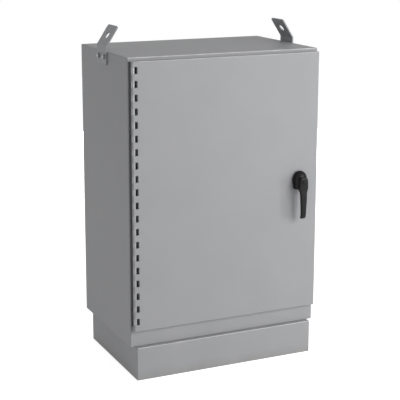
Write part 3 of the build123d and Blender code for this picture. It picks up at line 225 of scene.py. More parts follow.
def shown(name, mesh, finish, creased=True):
    """A piece of the cabinet made from a mesh, with smooth curves and sharp edges."""
    mesh.polygons.foreach_set("use_smooth", [True] * len(mesh.polygons))
    if creased:
        mesh.set_sharp_from_angle(angle=CREASE_ANGLE)
    mesh.materials.clear()
    mesh.materials.append(finish)
    piece = bpy.data.objects.new(name, mesh)
    bpy.context.scene.collection.objects.link(piece)
    return piece


def settled(piece, finish, creased=True):
    """The piece with its modifiers worked into a plain mesh."""
    evaluated = piece.evaluated_get(bpy.context.evaluated_depsgraph_get())
    mesh = bpy.data.meshes.new_from_object(evaluated)
    name = piece.name
    old = piece.data
    bpy.data.objects.remove(piece)
    bpy.data.meshes.remove(old)
    mesh.name = name
    return shown(name, mesh, finish, creased)


def seats(name, places):
    """A mesh of single points, each with the direction that its fastener looks in."""
    mesh = bpy.data.meshes.new(name)
    mesh.from_pydata([place for place, _ in places], [], [])
    facing = mesh.attributes.new("facing", "FLOAT_VECTOR", "POINT")
    for n, (_, axis) in enumerate(places):
        facing.data[n].vector = axis
    return mesh


def worked(name, places, tree, sizes, finish):
    """Runs a tree on the seats with its named sizes set, and keeps the result as a plain mesh."""
    piece = bpy.data.objects.new(name, seats(name, places))
    bpy.context.scene.collection.objects.link(piece)
    change = piece.modifiers.new(name, "NODES")
    change.node_group = tree
    for socket in tree.interface.items_tree:
        if socket.item_type == "SOCKET" and socket.in_out == "INPUT" and socket.name in sizes:
            change[socket.identifier] = sizes[socket.name]
    return settled(piece, finish)


def tree_with(name, **kinds):
    """An empty tree with a geometry in and out and the named inputs."""
    tree = bpy.data.node_groups.new(name, "GeometryNodeTree")
    tree.interface.new_socket("Geometry", in_out="INPUT", socket_type="NodeSocketGeometry")
    for key, kind in kinds.items():
        tree.interface.new_socket(key.replace("_", " "), in_out="INPUT", socket_type="NodeSocket" + kind)
    tree.interface.new_socket("Geometry", in_out="OUTPUT", socket_type="NodeSocketGeometry")
    return tree, add_node(tree, "NodeGroupInput", {}).outputs


def place_all(tree, given, instance, material):
    """Sets an instance on every seat, turned about its axis at random, and makes it real."""
    look = add_node(tree, "GeometryNodeInputNamedAttribute", {"Name": "facing"}, data_type="FLOAT_VECTOR")
    aligned = add_node(tree, "FunctionNodeAlignRotationToVector", {
        "Vector": look.outputs["Attribute"],
    }, axis="Z")
    spin = add_node(tree, "FunctionNodeRandomValue", {
        2: 0.0, 3: given["Turn"], "Seed": given["Seed"],
    }, data_type="FLOAT")
    euler = add_node(tree, "ShaderNodeCombineXYZ", {"Z": spin.outputs[1]})
    about = add_node(tree, "FunctionNodeEulerToRotation", {"Euler": euler.outputs[0]})
    turn = add_node(tree, "FunctionNodeRotateRotation", {
        "Rotation": aligned.outputs[0], "Rotate By": about.outputs[0],
    }, rotation_space="LOCAL")
    placed = add_node(tree, "GeometryNodeInstanceOnPoints", {
        "Points": given["Geometry"], "Instance": instance, "Rotation": turn.outputs[0],
    })
    real = add_node(tree, "GeometryNodeRealizeInstances", {"Geometry": placed.outputs[0]})
    painted = add_node(tree, "GeometryNodeSetMaterial", {"Geometry": real.outputs[0], "Material": material})
    add_node(tree, "NodeGroupOutput", {"Geometry": painted.outputs[0]})


# Hexagon fasteners: a washer, a hexagon whose corners are chamfered to a round crown, and the end
# of the thread standing out of it where it is a nut.
CROWN_SHARE = 0.14
MILLIMETRE = 0.001
hexagons, given = tree_with(
    "hexagon_fastener", Across_Flats="Float", Height="Float", Washer="Float", Washer_Height="Float",
    Thread="Float", Thread_Height="Float", Turn="Float", Seed="Int")
worked_sizes = {}
for label, size, share, plus in (
    ("washer radius", "Washer", 0.5, 0.0),
    ("washer middle", "Washer Height", 0.5, 0.0),
    ("corner radius", "Across Flats", 1 / math.sqrt(3), 0.0),
    ("flats depth", "Height", 1 - CROWN_SHARE, 0.0),
    ("flats middle", "Height", (1 - CROWN_SHARE) / 2, given["Washer Height"]),
    ("crown top radius", "Across Flats", 0.43, 0.0),
    ("crown radius", "Across Flats", 0.5, 0.0),
    ("crown depth", "Height", CROWN_SHARE, 0.0),
    ("crown foot", "Height", 1 - CROWN_SHARE, given["Washer Height"]),
    ("thread end radius", "Thread", 0.42, 0.0),
    ("thread radius", "Thread", 0.5, 0.0),
    ("thread foot", "Height", 1.0, given["Washer Height"]),
):
    inputs = {0: given[size], 1: share, 2: plus}
    worked_sizes[label] = add_node(hexagons, "ShaderNodeMath", inputs, operation="MULTIPLY_ADD").outputs[0]
layers = []
for kind, inputs, rise in (
    ("GeometryNodeMeshCylinder", {
        "Vertices": 32, "Radius": worked_sizes["washer radius"], "Depth": given["Washer Height"],
    }, "washer middle"),
    ("GeometryNodeMeshCylinder", {
        "Vertices": 6, "Radius": worked_sizes["corner radius"], "Depth": worked_sizes["flats depth"],
    }, "flats middle"),
    ("GeometryNodeMeshCone", {
        "Vertices": 32, "Radius Top": worked_sizes["crown top radius"],
        "Radius Bottom": worked_sizes["crown radius"], "Depth": worked_sizes["crown depth"],
    }, "crown foot"),
    ("GeometryNodeMeshCone", {
        "Vertices": 24, "Radius Top": worked_sizes["thread end radius"],
        "Radius Bottom": worked_sizes["thread radius"], "Depth": given["Thread Height"],
    }, "thread foot"),
):
    layer = add_node(hexagons, kind, inputs)
    up = add_node(hexagons, "ShaderNodeCombineXYZ", {"Z": worked_sizes[rise]})
    lifted = add_node(hexagons, "GeometryNodeTransform", {
        "Geometry": layer.outputs["Mesh"], "Translation": up.outputs[0],
    })
    layers.append(lifted.outputs[0])
fastener = add_node(hexagons, "GeometryNodeJoinGeometry", {"Geometry": layers})
place_all(hexagons, given, fastener.outputs[0], zinc)


def hexagon_set(name, places, sizes_mm, seed, finish=zinc):
    """One mesh of like hexagon fasteners."""
    sizes = {key: size * MILLIMETRE for key, size in sizes_mm.items()}
    return worked(name, places, hexagons, {**sizes, "Turn": math.pi, "Seed": seed}, finish)


# Plinth bolts: four hexagon bolts with washers stand on the cabinet's floor, and their locking
# nuts sit under the plinth's top flange.
UP = (0.0, 0.0, 1.0)
DOWN = (0.0, 0.0, -1.0)
OUT_FRONT = (0.0, -1.0, 0.0)
PLINTH_BOLT_X = 0.355
PLINTH_BOLT_Y = 0.190
LARGE_HEAD = {"Across Flats": 17.0, "Height": 6.4, "Washer": 21.0, "Washer Height": 2.0,
              "Thread": 9.0, "Thread Height": 0.2}
LARGE_NUT = {"Across Flats": 17.0, "Height": 8.0, "Washer": 17.0, "Washer Height": 0.4,
             "Thread": 10.0, "Thread Height": 2.0}
flange_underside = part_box("plinth")[1].z - PLINTH_SHEET
plinth_bolt_spots = [(side * PLINTH_BOLT_X, end * PLINTH_BOLT_Y) for side in (-1, 1) for end in (-1, 1)]
heads = hexagon_set("plinth_bolt_heads", [((x, y, body_floor), UP) for x, y in plinth_bolt_spots],
                    LARGE_HEAD, seed=3)
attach(heads, "cabinet")
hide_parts("plinth_bolts")
lock_nuts = hexagon_set("plinth_bolt_nuts", [((x, y, flange_underside), DOWN) for x, y in plinth_bolt_spots],
                        LARGE_NUT, seed=4)
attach(lock_nuts, "cabinet")


# Gland plate: a loose plate of hot dipped galvanised sheet over the cable opening, whose zinc
# froze in leaf shaped crystals a centimetre or so across. Six small bolts hold it down.
SPANGLE_DARK = "#A3A8AC"
SPANGLE_LIGHT = "#BEC2C4"
SPANGLE_MM = 13.0
SPANGLE_BEND_MM = 40.0
SPANGLE_BEND_SHARE = 0.012
SPANGLE_ROUGHNESS = (0.3, 0.52)
GLAND_PLATE_BOLT_SIDE_INSET = 0.022
GLAND_PLATE_BOLT_END_INSET = 0.010
SMALL_HEAD = {"Across Flats": 10.0, "Height": 4.0, "Washer": 10.0, "Washer Height": 0.3,
              "Thread": 5.0, "Thread Height": 0.2}
SMALL_NUT = {"Across Flats": 10.0, "Height": 5.0, "Washer": 10.0, "Washer Height": 0.3,
             "Thread": 6.0, "Thread Height": 1.7}
galvanised, galvanised_shader, at = new_finish("galvanised_sheet", 0.4, metallic=0.85)
stretch = add_node(galvanised, "ShaderNodeTexNoise", {
    "Vector": at, "Scale": per_metre(SPANGLE_BEND_MM), "Detail": 2.0,
})
bent = add_node(galvanised, "ShaderNodeMix", {
    "Factor": SPANGLE_BEND_SHARE, "A": at, "B": stretch.outputs["Color"],
}, data_type="VECTOR")
crystals = add_node(galvanised, "ShaderNodeTexVoronoi", {
    "Vector": bent.outputs["Result"], "Scale": per_metre(SPANGLE_MM),
})
leaf = add_node(galvanised, "ShaderNodeSeparateColor", {"Color": crystals.outputs["Color"]})
spangle = add_node(galvanised, "ShaderNodeMix", {
    "Factor": leaf.outputs["Red"], "A": linear(SPANGLE_DARK), "B": linear(SPANGLE_LIGHT),
}, data_type="RGBA")
facet = add_node(galvanised, "ShaderNodeMapRange", {
    "Value": leaf.outputs["Green"], "To Min": SPANGLE_ROUGHNESS[0], "To Max": SPANGLE_ROUGHNESS[1],
})
feed(galvanised, galvanised_shader, Base_Color=spangle.outputs["Result"], Roughness=facet.outputs[0])
dress(galvanised, "gland_plate")
plate_low, plate_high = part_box("gland_plate")
plate_bolt_x = plate_high.x - GLAND_PLATE_BOLT_SIDE_INSET
plate_bolt_rows = (plate_low.y + GLAND_PLATE_BOLT_END_INSET, plate_high.y - GLAND_PLATE_BOLT_END_INSET)
plate_bolt_spots = [(x, y) for x in (-plate_bolt_x, 0.0, plate_bolt_x) for y in plate_bolt_rows]
plate_heads = hexagon_set("gland_plate_bolt_heads",
                          [((x, y, plate_high.z), UP) for x, y in plate_bolt_spots], SMALL_HEAD, seed=5)
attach(plate_heads, "cabinet")
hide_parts("gland_plate_bolts")
plate_nuts = hexagon_set("gland_plate_bolt_nuts",
                         [((x, y, body_low.z), DOWN) for x, y in plate_bolt_spots], SMALL_NUT, seed=6)
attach(plate_nuts, "cabinet")


# Sealing plugs: soft black rubber, moulded with rings that are cut out to suit a cable. They snap
# into the spare holes of the gland plate, and show a dull grey bloom.
PLUG_PITCH = 0.150
PLUG_ROW_Y = -0.010
GLOSS_VARIATION = 0.06
PLUG_PROFILE = [
    (0, -8), (14.5, -8), (15.6, -7), (16, -4), (16, 2), (19.2, 2), (20, 2.8), (20, 4.2), (19.3, 5),
    (16.8, 5), (16, 4.4), (15.2, 3.6), (12.6, 3.3), (12.0, 4.0), (11.2, 4.0), (10.6, 3.2), (6.4, 3.0),
    (5.8, 3.6), (5.0, 3.6), (4.4, 3.0), (1.6, 3.0), (1.2, 4.6), (0, 4.9),
]


def grained(name, dark, light, roughness, grain_mm, depth_mm, cloud_mm=30.0, specular=0.5, metallic=0.0):
    """A plastic, rubber, paint or worn metal: two close shades in clouds, and a raised grain.

    A mould's spark grain is about a tenth of a millimetre, and is drawn ten times as coarse so
    that it shows.
    """
    material, shader, place = new_finish(name, roughness, metallic, specular)
    cloud = add_node(material, "ShaderNodeTexNoise", {
        "Vector": place, "Scale": per_metre(cloud_mm), "Detail": 3.0,
    })
    fine = add_node(material, "ShaderNodeTexNoise", {
        "Vector": place, "Scale": per_metre(grain_mm), "Detail": 2.0,
    })
    shade = add_node(material, "ShaderNodeMix", {
        "Factor": cloud.outputs["Fac"], "A": linear(dark), "B": linear(light),
    }, data_type="RGBA")
    gloss = add_node(material, "ShaderNodeMapRange", {
        "Value": fine.outputs["Fac"],
        "To Min": roughness - GLOSS_VARIATION, "To Max": roughness + GLOSS_VARIATION,
    })
    dimpled = add_node(material, "ShaderNodeBump", {
        "Height": fine.outputs["Fac"], "Distance": depth_mm * MILLIMETRE,
    })
    feed(material, shader, Base_Color=shade.outputs["Result"], Roughness=gloss.outputs[0],
         Normal=dimpled.outputs["Normal"])
    return material


def turned(name, profile, places, finish, steps=32, closed=False):
    """A body of revolution at each place: spins (radius, height) points in millimetres about its axis."""
    bm = bmesh.new()
    for place, axis in places:
        turn = Vector(axis).to_track_quat("Z", "Y").to_matrix()
        rings = []
        for radius, high in profile:
            ring = []
            for n in range(steps):
                angle = 2 * math.pi * n / steps
                spot = Vector((radius * math.cos(angle), radius * math.sin(angle), high)) * MILLIMETRE
                ring.append(bm.verts.new(turn @ spot + Vector(place)))
            rings.append(ring)
        pairs = list(zip(rings, rings[1:])) + ([(rings[-1], rings[0])] if closed else [])
        for one, two in pairs:
            for n in range(steps):
                bm.faces.new((one[n], one[(n + 1) % steps], two[(n + 1) % steps], two[n]))
    bmesh.ops.remove_doubles(bm, verts=bm.verts, dist=0.000001)
    bmesh.ops.recalc_face_normals(bm, faces=bm.faces)
    mesh = bpy.data.meshes.new(name)
    bm.to_mesh(mesh)
    bm.free()
    return shown(name, mesh, finish)


# Rubber scatters light and has hardly any gloss.
plug_rubber = grained("black_rubber", "#1F1F20", "#2C2C2E", 0.62, 1.4, 0.05, specular=0.35)
plug_spots = [((PLUG_PITCH * n, PLUG_ROW_Y, body_floor), UP) for n in (-1.5, -0.5, 0.5, 1.5)]
plugs = turned("ringed_sealing_plugs", PLUG_PROFILE, plug_spots, plug_rubber, steps=40)
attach(plugs, "cabinet")
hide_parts("sealing_plugs")


# Cable glands: dark grey polyamide with the fine spark grain of the mould. A rubber seal fills
# the mouth of each, and grip ribs are moulded round its domed nut.
GLAND_X = 0.075
GLAND_Y = 0.090
SEAL_PROFILE = [
    (11.0, 18.0), (17.2, 18.0), (17.2, 27.0), (15.8, 28.0), (13.4, 28.4), (11.6, 27.6), (11.0, 26.4),
]
GRIP_RIBS = {"Rib Width": 0.0022, "Rib Height": 0.013, "Ring": 0.0199, "Rise": 0.0148, "Count": 30}
gland_plastic = grained("dark_grey_polyamide", "#3A3B3D", "#46474A", 0.5, 1.0, 0.05)
dress(gland_plastic, "cable_gland_left", "cable_gland_right")
gland_spots = [((x, GLAND_Y, body_floor), UP) for x in (-GLAND_X, GLAND_X)]
seals = turned("gland_seals", SEAL_PROFILE, gland_spots, plug_rubber, steps=40, closed=True)
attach(seals, "cabinet")
ribs, given = tree_with("grip_ribs", Rib_Width="Float", Rib_Height="Float", Ring="Float", Rise="Float",
                        Count="Int", Turn="Float", Seed="Int")
rib_radius = add_node(ribs, "ShaderNodeMath", {0: given["Rib Width"], 1: 0.5}, operation="MULTIPLY")
rib = add_node(ribs, "GeometryNodeMeshCylinder", {
    "Vertices": 8, "Radius": rib_radius.outputs[0], "Depth": given["Rib Height"],
})
circle = add_node(ribs, "GeometryNodeMeshCircle", {"Vertices": given["Count"], "Radius": given["Ring"]})
round_nut = add_node(ribs, "GeometryNodeInstanceOnPoints", {
    "Points": circle.outputs[0], "Instance": rib.outputs["Mesh"],
})
rib_rise = add_node(ribs, "ShaderNodeCombineXYZ", {"Z": given["Rise"]})
ring_of_ribs = add_node(ribs, "GeometryNodeTransform", {
    "Geometry": round_nut.outputs[0], "Translation": rib_rise.outputs[0],
})
place_all(ribs, given, ring_of_ribs.outputs[0], gland_plastic)
grips = worked("gland_grip_ribs", gland_spots, ribs, {**GRIP_RIBS, "Turn": 0.0, "Seed": 1}, gland_plastic)
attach(grips, "cabinet")


# Mounting panel: 2.5 mm sheet in gloss white enamel, so that it shows dirt and brightens the
# inside. It stands on four studs, each a wide collar welded to the back wall with a thread whose
# crests show in front of its nut.
PANEL_SHEET = 0.0025
PANEL_STUD_INSET = 0.030
STUD_COLLAR_RADIUS_MM = 8.0
STUD_COLLAR_MM = 25.0
STUD_MM = 42.0
STUD_TIP_RADIUS_MM = 3.3
STUD_TIP_MM = 0.6
THREAD_PITCH_MM = 1.25
THREAD_START_MM = 34.0
THREAD_TURNS = 6
THREAD_RADIUS_MM = 4.0
THREAD_ROOT_MM = 3.45
MIDDLE_NUT = {"Across Flats": 13.0, "Height": 6.5, "Washer": 13.0, "Washer Height": 0.3,
              "Thread": 7.6, "Thread Height": 0.2}
white_enamel = grained("gloss_white_enamel", "#DADAD6", "#E2E2DE", 0.32, 2.4, 0.03, cloud_mm=200.0)
dress(white_enamel, "mounting_panel")
panel_low, panel_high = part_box("mounting_panel")
stud_x = panel_high.x - PANEL_STUD_INSET
stud_heights = (panel_low.z + PANEL_STUD_INSET, panel_high.z - PANEL_STUD_INSET)
panel_stud_spots = [(x, z) for x in (-stud_x, stud_x) for z in stud_heights]
panel_face = panel_high.y - PANEL_SHEET
nut_set = hexagon_set("mounting_panel_nuts", [((x, panel_face, z), OUT_FRONT) for x, z in panel_stud_spots],
                      MIDDLE_NUT, seed=7)
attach(nut_set, "cabinet")
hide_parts("panel_nuts")
stud_profile = [
    (0, 0), (STUD_COLLAR_RADIUS_MM, 0), (STUD_COLLAR_RADIUS_MM, STUD_COLLAR_MM),
    (THREAD_RADIUS_MM, STUD_COLLAR_MM), (THREAD_RADIUS_MM, THREAD_START_MM),
]
for turn_number in range(THREAD_TURNS):
    crest = THREAD_START_MM + THREAD_PITCH_MM * turn_number
    stud_profile += [(THREAD_RADIUS_MM, crest), (THREAD_ROOT_MM, crest + THREAD_PITCH_MM / 2)]
stud_profile += [
    (THREAD_RADIUS_MM, STUD_MM - STUD_TIP_MM), (STUD_TIP_RADIUS_MM, STUD_MM), (0, STUD_MM),
]
back_wall = body_high.y - BODY_SHEET
studs = turned("mounting_panel_studs", stud_profile,
               [((x, back_wall, z), OUT_FRONT) for x, z in panel_stud_spots], zinc)
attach(studs, "cabinet")
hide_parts("panel_studs")


# Cross bars, rails and spool arms: cut and folded from the galvanised sheet, and punched with
# the holes of a 19 inch rack. The shears leave their edges a little broken.
FLAT_ANGLE = math.radians(0.5)
EDGE_ANGLE = math.radians(30.0)


def softened(node, width_mm, body, finish, segments=2):
    """A copy of a CAD piece whose sharp edges are broken as a real one's are."""
    bm = bmesh.new()
    bm.from_mesh(nodes[node].data)
    bmesh.ops.remove_doubles(bm, verts=bm.verts, dist=0.000002)
    bmesh.ops.dissolve_limit(bm, angle_limit=FLAT_ANGLE, verts=bm.verts, edges=bm.edges)
    mesh = bpy.data.meshes.new(node + "_softened")
    bm.to_mesh(mesh)
    bm.free()
    mesh.polygons.foreach_set("use_smooth", [True] * len(mesh.polygons))
    piece = bpy.data.objects.new(node + "_softened", mesh)
    bpy.context.scene.collection.objects.link(piece)
    bevel = piece.modifiers.new("broken_edge", "BEVEL")
    bevel.width = width_mm * MILLIMETRE
    bevel.segments = segments
    bevel.limit_method = "ANGLE"
    bevel.angle_limit = EDGE_ANGLE
    flat = piece.modifiers.new("flat_faces", "WEIGHTED_NORMAL")
    flat.weight = 100
    piece = settled(piece, finish, creased=False)
    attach(piece, body)
    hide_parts(node)


for bar in ("cross_bar_lower", "cross_bar_upper"):
    softened(bar, 0.9, "cabinet", galvanised)
for rail in ("rack_rail_left", "rack_rail_right"):
    softened(rail, 0.35, "cabinet", galvanised, segments=1)
for arm in ("spool_arm_left_1", "spool_arm_left_2", "spool_arm_right_1", "spool_arm_right_2"):
    softened(arm, 0.4, "cabinet", galvanised, segments=1)


# Earth bar: flat copper drawn through a die, so fine lines run along it under a dull tarnish. Its
# posts are moulded from red polyester with a low gloss.
COPPER_BRIGHT = "#D08A5C"
COPPER_DULL = "#A96A45"
COPPER_LINE_MM = 0.7
COPPER_LINE_STRETCH = (0.03, 1.0, 1.0)
COPPER_LINE_DEPTH = 0.00003
COPPER_TARNISH_MM = 24.0
COPPER_ROUGHNESS = (0.24, 0.46)
copper, copper_shader, at = new_finish("drawn_copper_bar", 0.34, metallic=1.0)
along = add_node(copper, "ShaderNodeMapping", {"Vector": at, "Scale": COPPER_LINE_STRETCH})
lines = add_node(copper, "ShaderNodeTexNoise", {
    "Vector": along.outputs["Vector"], "Scale": per_metre(COPPER_LINE_MM), "Detail": 2.0,
})
tarnish = add_node(copper, "ShaderNodeTexNoise", {
    "Vector": at, "Scale": per_metre(COPPER_TARNISH_MM), "Detail": 4.0,
})
patina = add_node(copper, "ShaderNodeMix", {
    "Factor": tarnish.outputs["Fac"], "A": linear(COPPER_BRIGHT), "B": linear(COPPER_DULL),
}, data_type="RGBA")
drawn = add_node(copper, "ShaderNodeMapRange", {
    "Value": lines.outputs["Fac"], "To Min": COPPER_ROUGHNESS[0], "To Max": COPPER_ROUGHNESS[1],
})
scored = add_node(copper, "ShaderNodeBump", {
    "Height": lines.outputs["Fac"], "Distance": COPPER_LINE_DEPTH,
})
feed(copper, copper_shader, Base_Color=patina.outputs["Result"], Roughness=drawn.outputs[0],
     Normal=scored.outputs["Normal"])
softened("earth_bar", 0.5, "cabinet", copper)
post_plastic = grained("red_polyester", "#8E2119", "#9C2A20", 0.36, 1.2, 0.03)
dress(post_plastic, "earth_posts")


# Earth bar screws: seven clamp screws with low pan heads, each pressed with a cross recess and
# zinc plated. The same shape of screw holds the panels of the rack.
EARTH_SCREW_PITCH = 0.022
HEAD_SHARES = [0.0, 0.10, 0.17, 0.26, 0.36, 0.47, 0.52, 0.66, 0.82, 0.93, 1.0]
HEAD_STEPS = 48
DOME_FALL = 0.45
RECESS_DEPTH = 0.5


def cross_screw(name, head_mm, high_mm, arm_mm, slot_mm):
    """The head of one screw: a low dome with a cross sunk in it."""
    bm = bmesh.new()
    rings = []
    for share in HEAD_SHARES:
        radius = head_mm / 2 * share
        dome = high_mm * (1.0 - DOME_FALL * share ** 3)
        ring = []
        for n in range(HEAD_STEPS):
            angle = 2 * math.pi * n / HEAD_STEPS
            x = radius * math.cos(angle)
            y = radius * math.sin(angle)
            near = min(abs(x), abs(y))
            far = max(abs(x), abs(y))
            in_cross = near < slot_mm / 2 and far < arm_mm / 2
            rise = dome - high_mm * RECESS_DEPTH if in_cross else dome
            ring.append(bm.verts.new(Vector((x, y, rise)) * MILLIMETRE))
        rings.append(ring)
    rings.append([bm.verts.new((v.co.x, v.co.y, 0.0)) for v in rings[-1]])
    rings.append([bm.verts.new((0.0, 0.0, 0.0)) for _ in range(HEAD_STEPS)])
    for one, two in zip(rings, rings[1:]):
        for n in range(HEAD_STEPS):
            bm.faces.new((one[n], one[(n + 1) % HEAD_STEPS], two[(n + 1) % HEAD_STEPS], two[n]))
    bmesh.ops.remove_doubles(bm, verts=bm.verts, dist=0.0000001)
    bmesh.ops.recalc_face_normals(bm, faces=bm.faces)
    mesh = bpy.data.meshes.new(name)
    bm.to_mesh(mesh)
    bm.free()
    return bpy.data.objects.new(name, mesh)


copies, given = tree_with("copies_on_seats", Pattern="Object", Turn="Float", Seed="Int")
pattern = add_node(copies, "GeometryNodeObjectInfo", {"Object": given["Pattern"]})
place_all(copies, given, pattern.outputs["Geometry"], zinc)


def copies_of(pattern_object, name, places, finish, turn, seed):
    """One mesh with a copy of the pattern on each seat; the pattern itself isn't kept."""
    bpy.context.scene.collection.objects.link(pattern_object)
    sizes = {"Pattern": pattern_object, "Turn": turn, "Seed": seed}
    piece = worked(name, places, copies, sizes, finish)
    bpy.data.objects.remove(pattern_object)
    return piece


bar_low, bar_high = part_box("earth_bar")
bar_middle = (bar_low.z + bar_high.z) / 2
earth_spots = [((EARTH_SCREW_PITCH * n, bar_low.y, bar_middle), OUT_FRONT) for n in range(-3, 4)]
earth_screws = copies_of(cross_screw("earth_screw", 9.5, 3.0, 5.2, 1.5), "earth_bar_screws", earth_spots,
                         zinc, turn=2 * math.pi, seed=11)
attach(earth_screws, "cabinet")


# Patch panels and shelf: folded sheet in fine textured black powder coat, in a rack whose unit
# is 44.45 mm. Sixteen screws on plastic cup washers hold their ears to the rails.
UNIT = 0.04445
END_HOLE = 0.00635
SCREW_REACH = 0.23255
PATCH_PANEL_UNITS = (15, 12, 9)
PATCH_PANEL_HEIGHT = 2
SHELF_UNIT = 5
CUP_UNDER_HEAD = 0.0012
CUP_PROFILE = [(3.0, 0), (7.2, 0), (7.2, 0.7), (6.6, 1.2), (3.0, 1.2)]
panel_black = grained("textured_black_powder_coat", "#232425", "#2C2D2F", 0.55, 1.6, 0.12)
for panel in ("patch_panel_1", "patch_panel_2", "patch_panel_3", "splice_shelf"):
    softened(panel, 0.4, "cabinet", panel_black, segments=1)
ear_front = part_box("patch_panel_1")[0].y
rack_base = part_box("cross_bar_lower")[1].z
screw_heights = []
for unit, units_high in [(unit, PATCH_PANEL_HEIGHT) for unit in PATCH_PANEL_UNITS] + [(SHELF_UNIT, 1)]:
    screw_heights += [rack_base + unit * UNIT + END_HOLE, rack_base + (unit + units_high) * UNIT - END_HOLE]
ear_spots = [(side * SCREW_REACH, z) for side in (-1, 1) for z in screw_heights]
rack_screws = copies_of(cross_screw("rack_screw", 11.0, 3.4, 6.0, 1.7), "rack_screws",
                        [((x, ear_front - CUP_UNDER_HEAD, z), OUT_FRONT) for x, z in ear_spots], zinc,
                        turn=2 * math.pi, seed=12)
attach(rack_screws, "cabinet")
spool_plastic = grained("black_spool_plastic", "#242527", "#2E2F31", 0.5, 1.2, 0.04)
cups = turned("screw_cup_washers", CUP_PROFILE, [((x, ear_front, z), OUT_FRONT) for x, z in ear_spots],
              spool_plastic, steps=24, closed=True)
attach(cups, "cabinet")


# Adapters: blue moulded plastic, snapped into the panels in rows of twelve. Each has two sockets
# closed by caps of milky plastic with a flat tab to pull them by.
ADAPTER_COUNT = 12
ADAPTER_PITCH = 0.033
SOCKET_OFFSET = 0.0065
CAP_SEAT = 0.001
CAP_EDGE = 0.0005
CAP_TURN = math.radians(2.5)
CAP_BLOCKS = (((8.4, 7.0, 3.0), 1.0), ((9.8, 8.4, 1.2), 2.9), ((7.0, 2.4, 7.0), 6.8))


def dust_cap():
    """A cap for one socket: a plug, a collar and a tab, each a block with softened edges."""
    bm = bmesh.new()
    for size, rise in CAP_BLOCKS:
        made = bmesh.ops.create_cube(bm, size=MILLIMETRE)
        bmesh.ops.scale(bm, vec=size, verts=made["verts"])
        bmesh.ops.translate(bm, vec=(0.0, 0.0, rise * MILLIMETRE), verts=made["verts"])
    bmesh.ops.bevel(bm, geom=list(bm.edges), offset=CAP_EDGE, segments=2, affect="EDGES")
    mesh = bpy.data.meshes.new("dust_cap")
    bm.to_mesh(mesh)
    bm.free()
    return bpy.data.objects.new("dust_cap", mesh)


adapter_blue = grained("blue_adapter_plastic", "#12579F", "#1A63AF", 0.34, 1.2, 0.02)
cap_plastic = grained("milky_cap_plastic", "#D9DAD8", "#E3E4E2", 0.4, 1.0, 0.02)
socket_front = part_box("adapter_row_1")[0].y
for number, unit in enumerate(PATCH_PANEL_UNITS, start=1):
    softened(f"adapter_row_{number}", 0.5, "cabinet", adapter_blue, segments=1)
    middle = rack_base + (unit + PATCH_PANEL_HEIGHT / 2) * UNIT
    cap_spots = []
    for n in range(ADAPTER_COUNT):
        adapter_x = ADAPTER_PITCH * (n - (ADAPTER_COUNT - 1) / 2)
        for side in (-1, 1):
            spot = (adapter_x + side * SOCKET_OFFSET, socket_front + CAP_SEAT, middle)
            cap_spots.append((spot, OUT_FRONT))
    caps = copies_of(dust_cap(), f"dust_caps_{number}", cap_spots, cap_plastic,
                     turn=CAP_TURN, seed=20 + number)
    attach(caps, "cabinet")


# Splice trays: four pale grey mouldings stacked on the shelf's stud. On the floor of the top one
# are combs of thin black ribs, where the spliced fibres are pressed in.
COMB_X = 0.052
TRAY_FLOOR = 0.0022
RIB_MIDDLE = 0.0035
BASE_MIDDLE = 0.0005
COMB_SIZES = {"Rib Count": 9, "Pitch": 0.0034, "Rib": (0.0009, 0.036, 0.006), "Base": (0.031, 0.038, 0.0012)}
tray_plastic = grained("pale_grey_tray_plastic", "#C9C9C5", "#D4D4D0", 0.45, 1.2, 0.03)
for number in (1, 2, 3, 4):
    softened(f"splice_tray_{number}", 0.6, "cabinet", tray_plastic)
dress(zinc, "tray_stud")
combs, given = tree_with("holder_combs", Rib_Count="Int", Pitch="Float", Rib="Vector", Base="Vector",
                         Turn="Float", Seed="Int")
step = add_node(combs, "ShaderNodeCombineXYZ", {"X": given["Pitch"]})
line = add_node(combs, "GeometryNodeMeshLine", {"Count": given["Rib Count"], "Offset": step.outputs[0]})
comb_rib = add_node(combs, "GeometryNodeMeshCube", {"Size": given["Rib"]})
row_of_ribs = add_node(combs, "GeometryNodeInstanceOnPoints", {
    "Points": line.outputs[0], "Instance": comb_rib.outputs[0],
})
half_row = add_node(combs, "ShaderNodeMath", {
    0: given["Rib Count"], 1: -0.5, 2: 0.5,
}, operation="MULTIPLY_ADD")
shift = add_node(combs, "ShaderNodeMath", {
    0: half_row.outputs[0], 1: given["Pitch"],
}, operation="MULTIPLY")
centre = add_node(combs, "ShaderNodeCombineXYZ", {"X": shift.outputs[0], "Z": RIB_MIDDLE})
centred = add_node(combs, "GeometryNodeTransform", {
    "Geometry": row_of_ribs.outputs[0], "Translation": centre.outputs[0],
})
comb_base = add_node(combs, "GeometryNodeMeshCube", {"Size": given["Base"]})
comb_foot = add_node(combs, "GeometryNodeTransform", {
    "Geometry": comb_base.outputs[0], "Translation": (0.0, 0.0, BASE_MIDDLE),
})
comb = add_node(combs, "GeometryNodeJoinGeometry", {"Geometry": [centred.outputs[0], comb_foot.outputs[0]]})
place_all(combs, given, comb.outputs[0], panel_black)
tray_low, tray_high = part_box("splice_tray_4")
tray_y = (tray_low.y + tray_high.y) / 2
comb_spots = [((side * COMB_X, tray_y, tray_low.z + TRAY_FLOOR), UP) for side in (-1, 1)]
holders = worked("splice_holders", comb_spots, combs, {**COMB_SIZES, "Turn": 0.0, "Seed": 2}, panel_black)
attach(holders, "cabinet")


# Slack spools: black moulded plastic drums with flanges, screwed to their arms beside the rails,
# for the spare length of the fibre leads.
for spool in ("slack_spool_left_1", "slack_spool_left_2", "slack_spool_right_1", "slack_spool_right_2"):
    softened(spool, 0.8, "cabinet", spool_plastic)


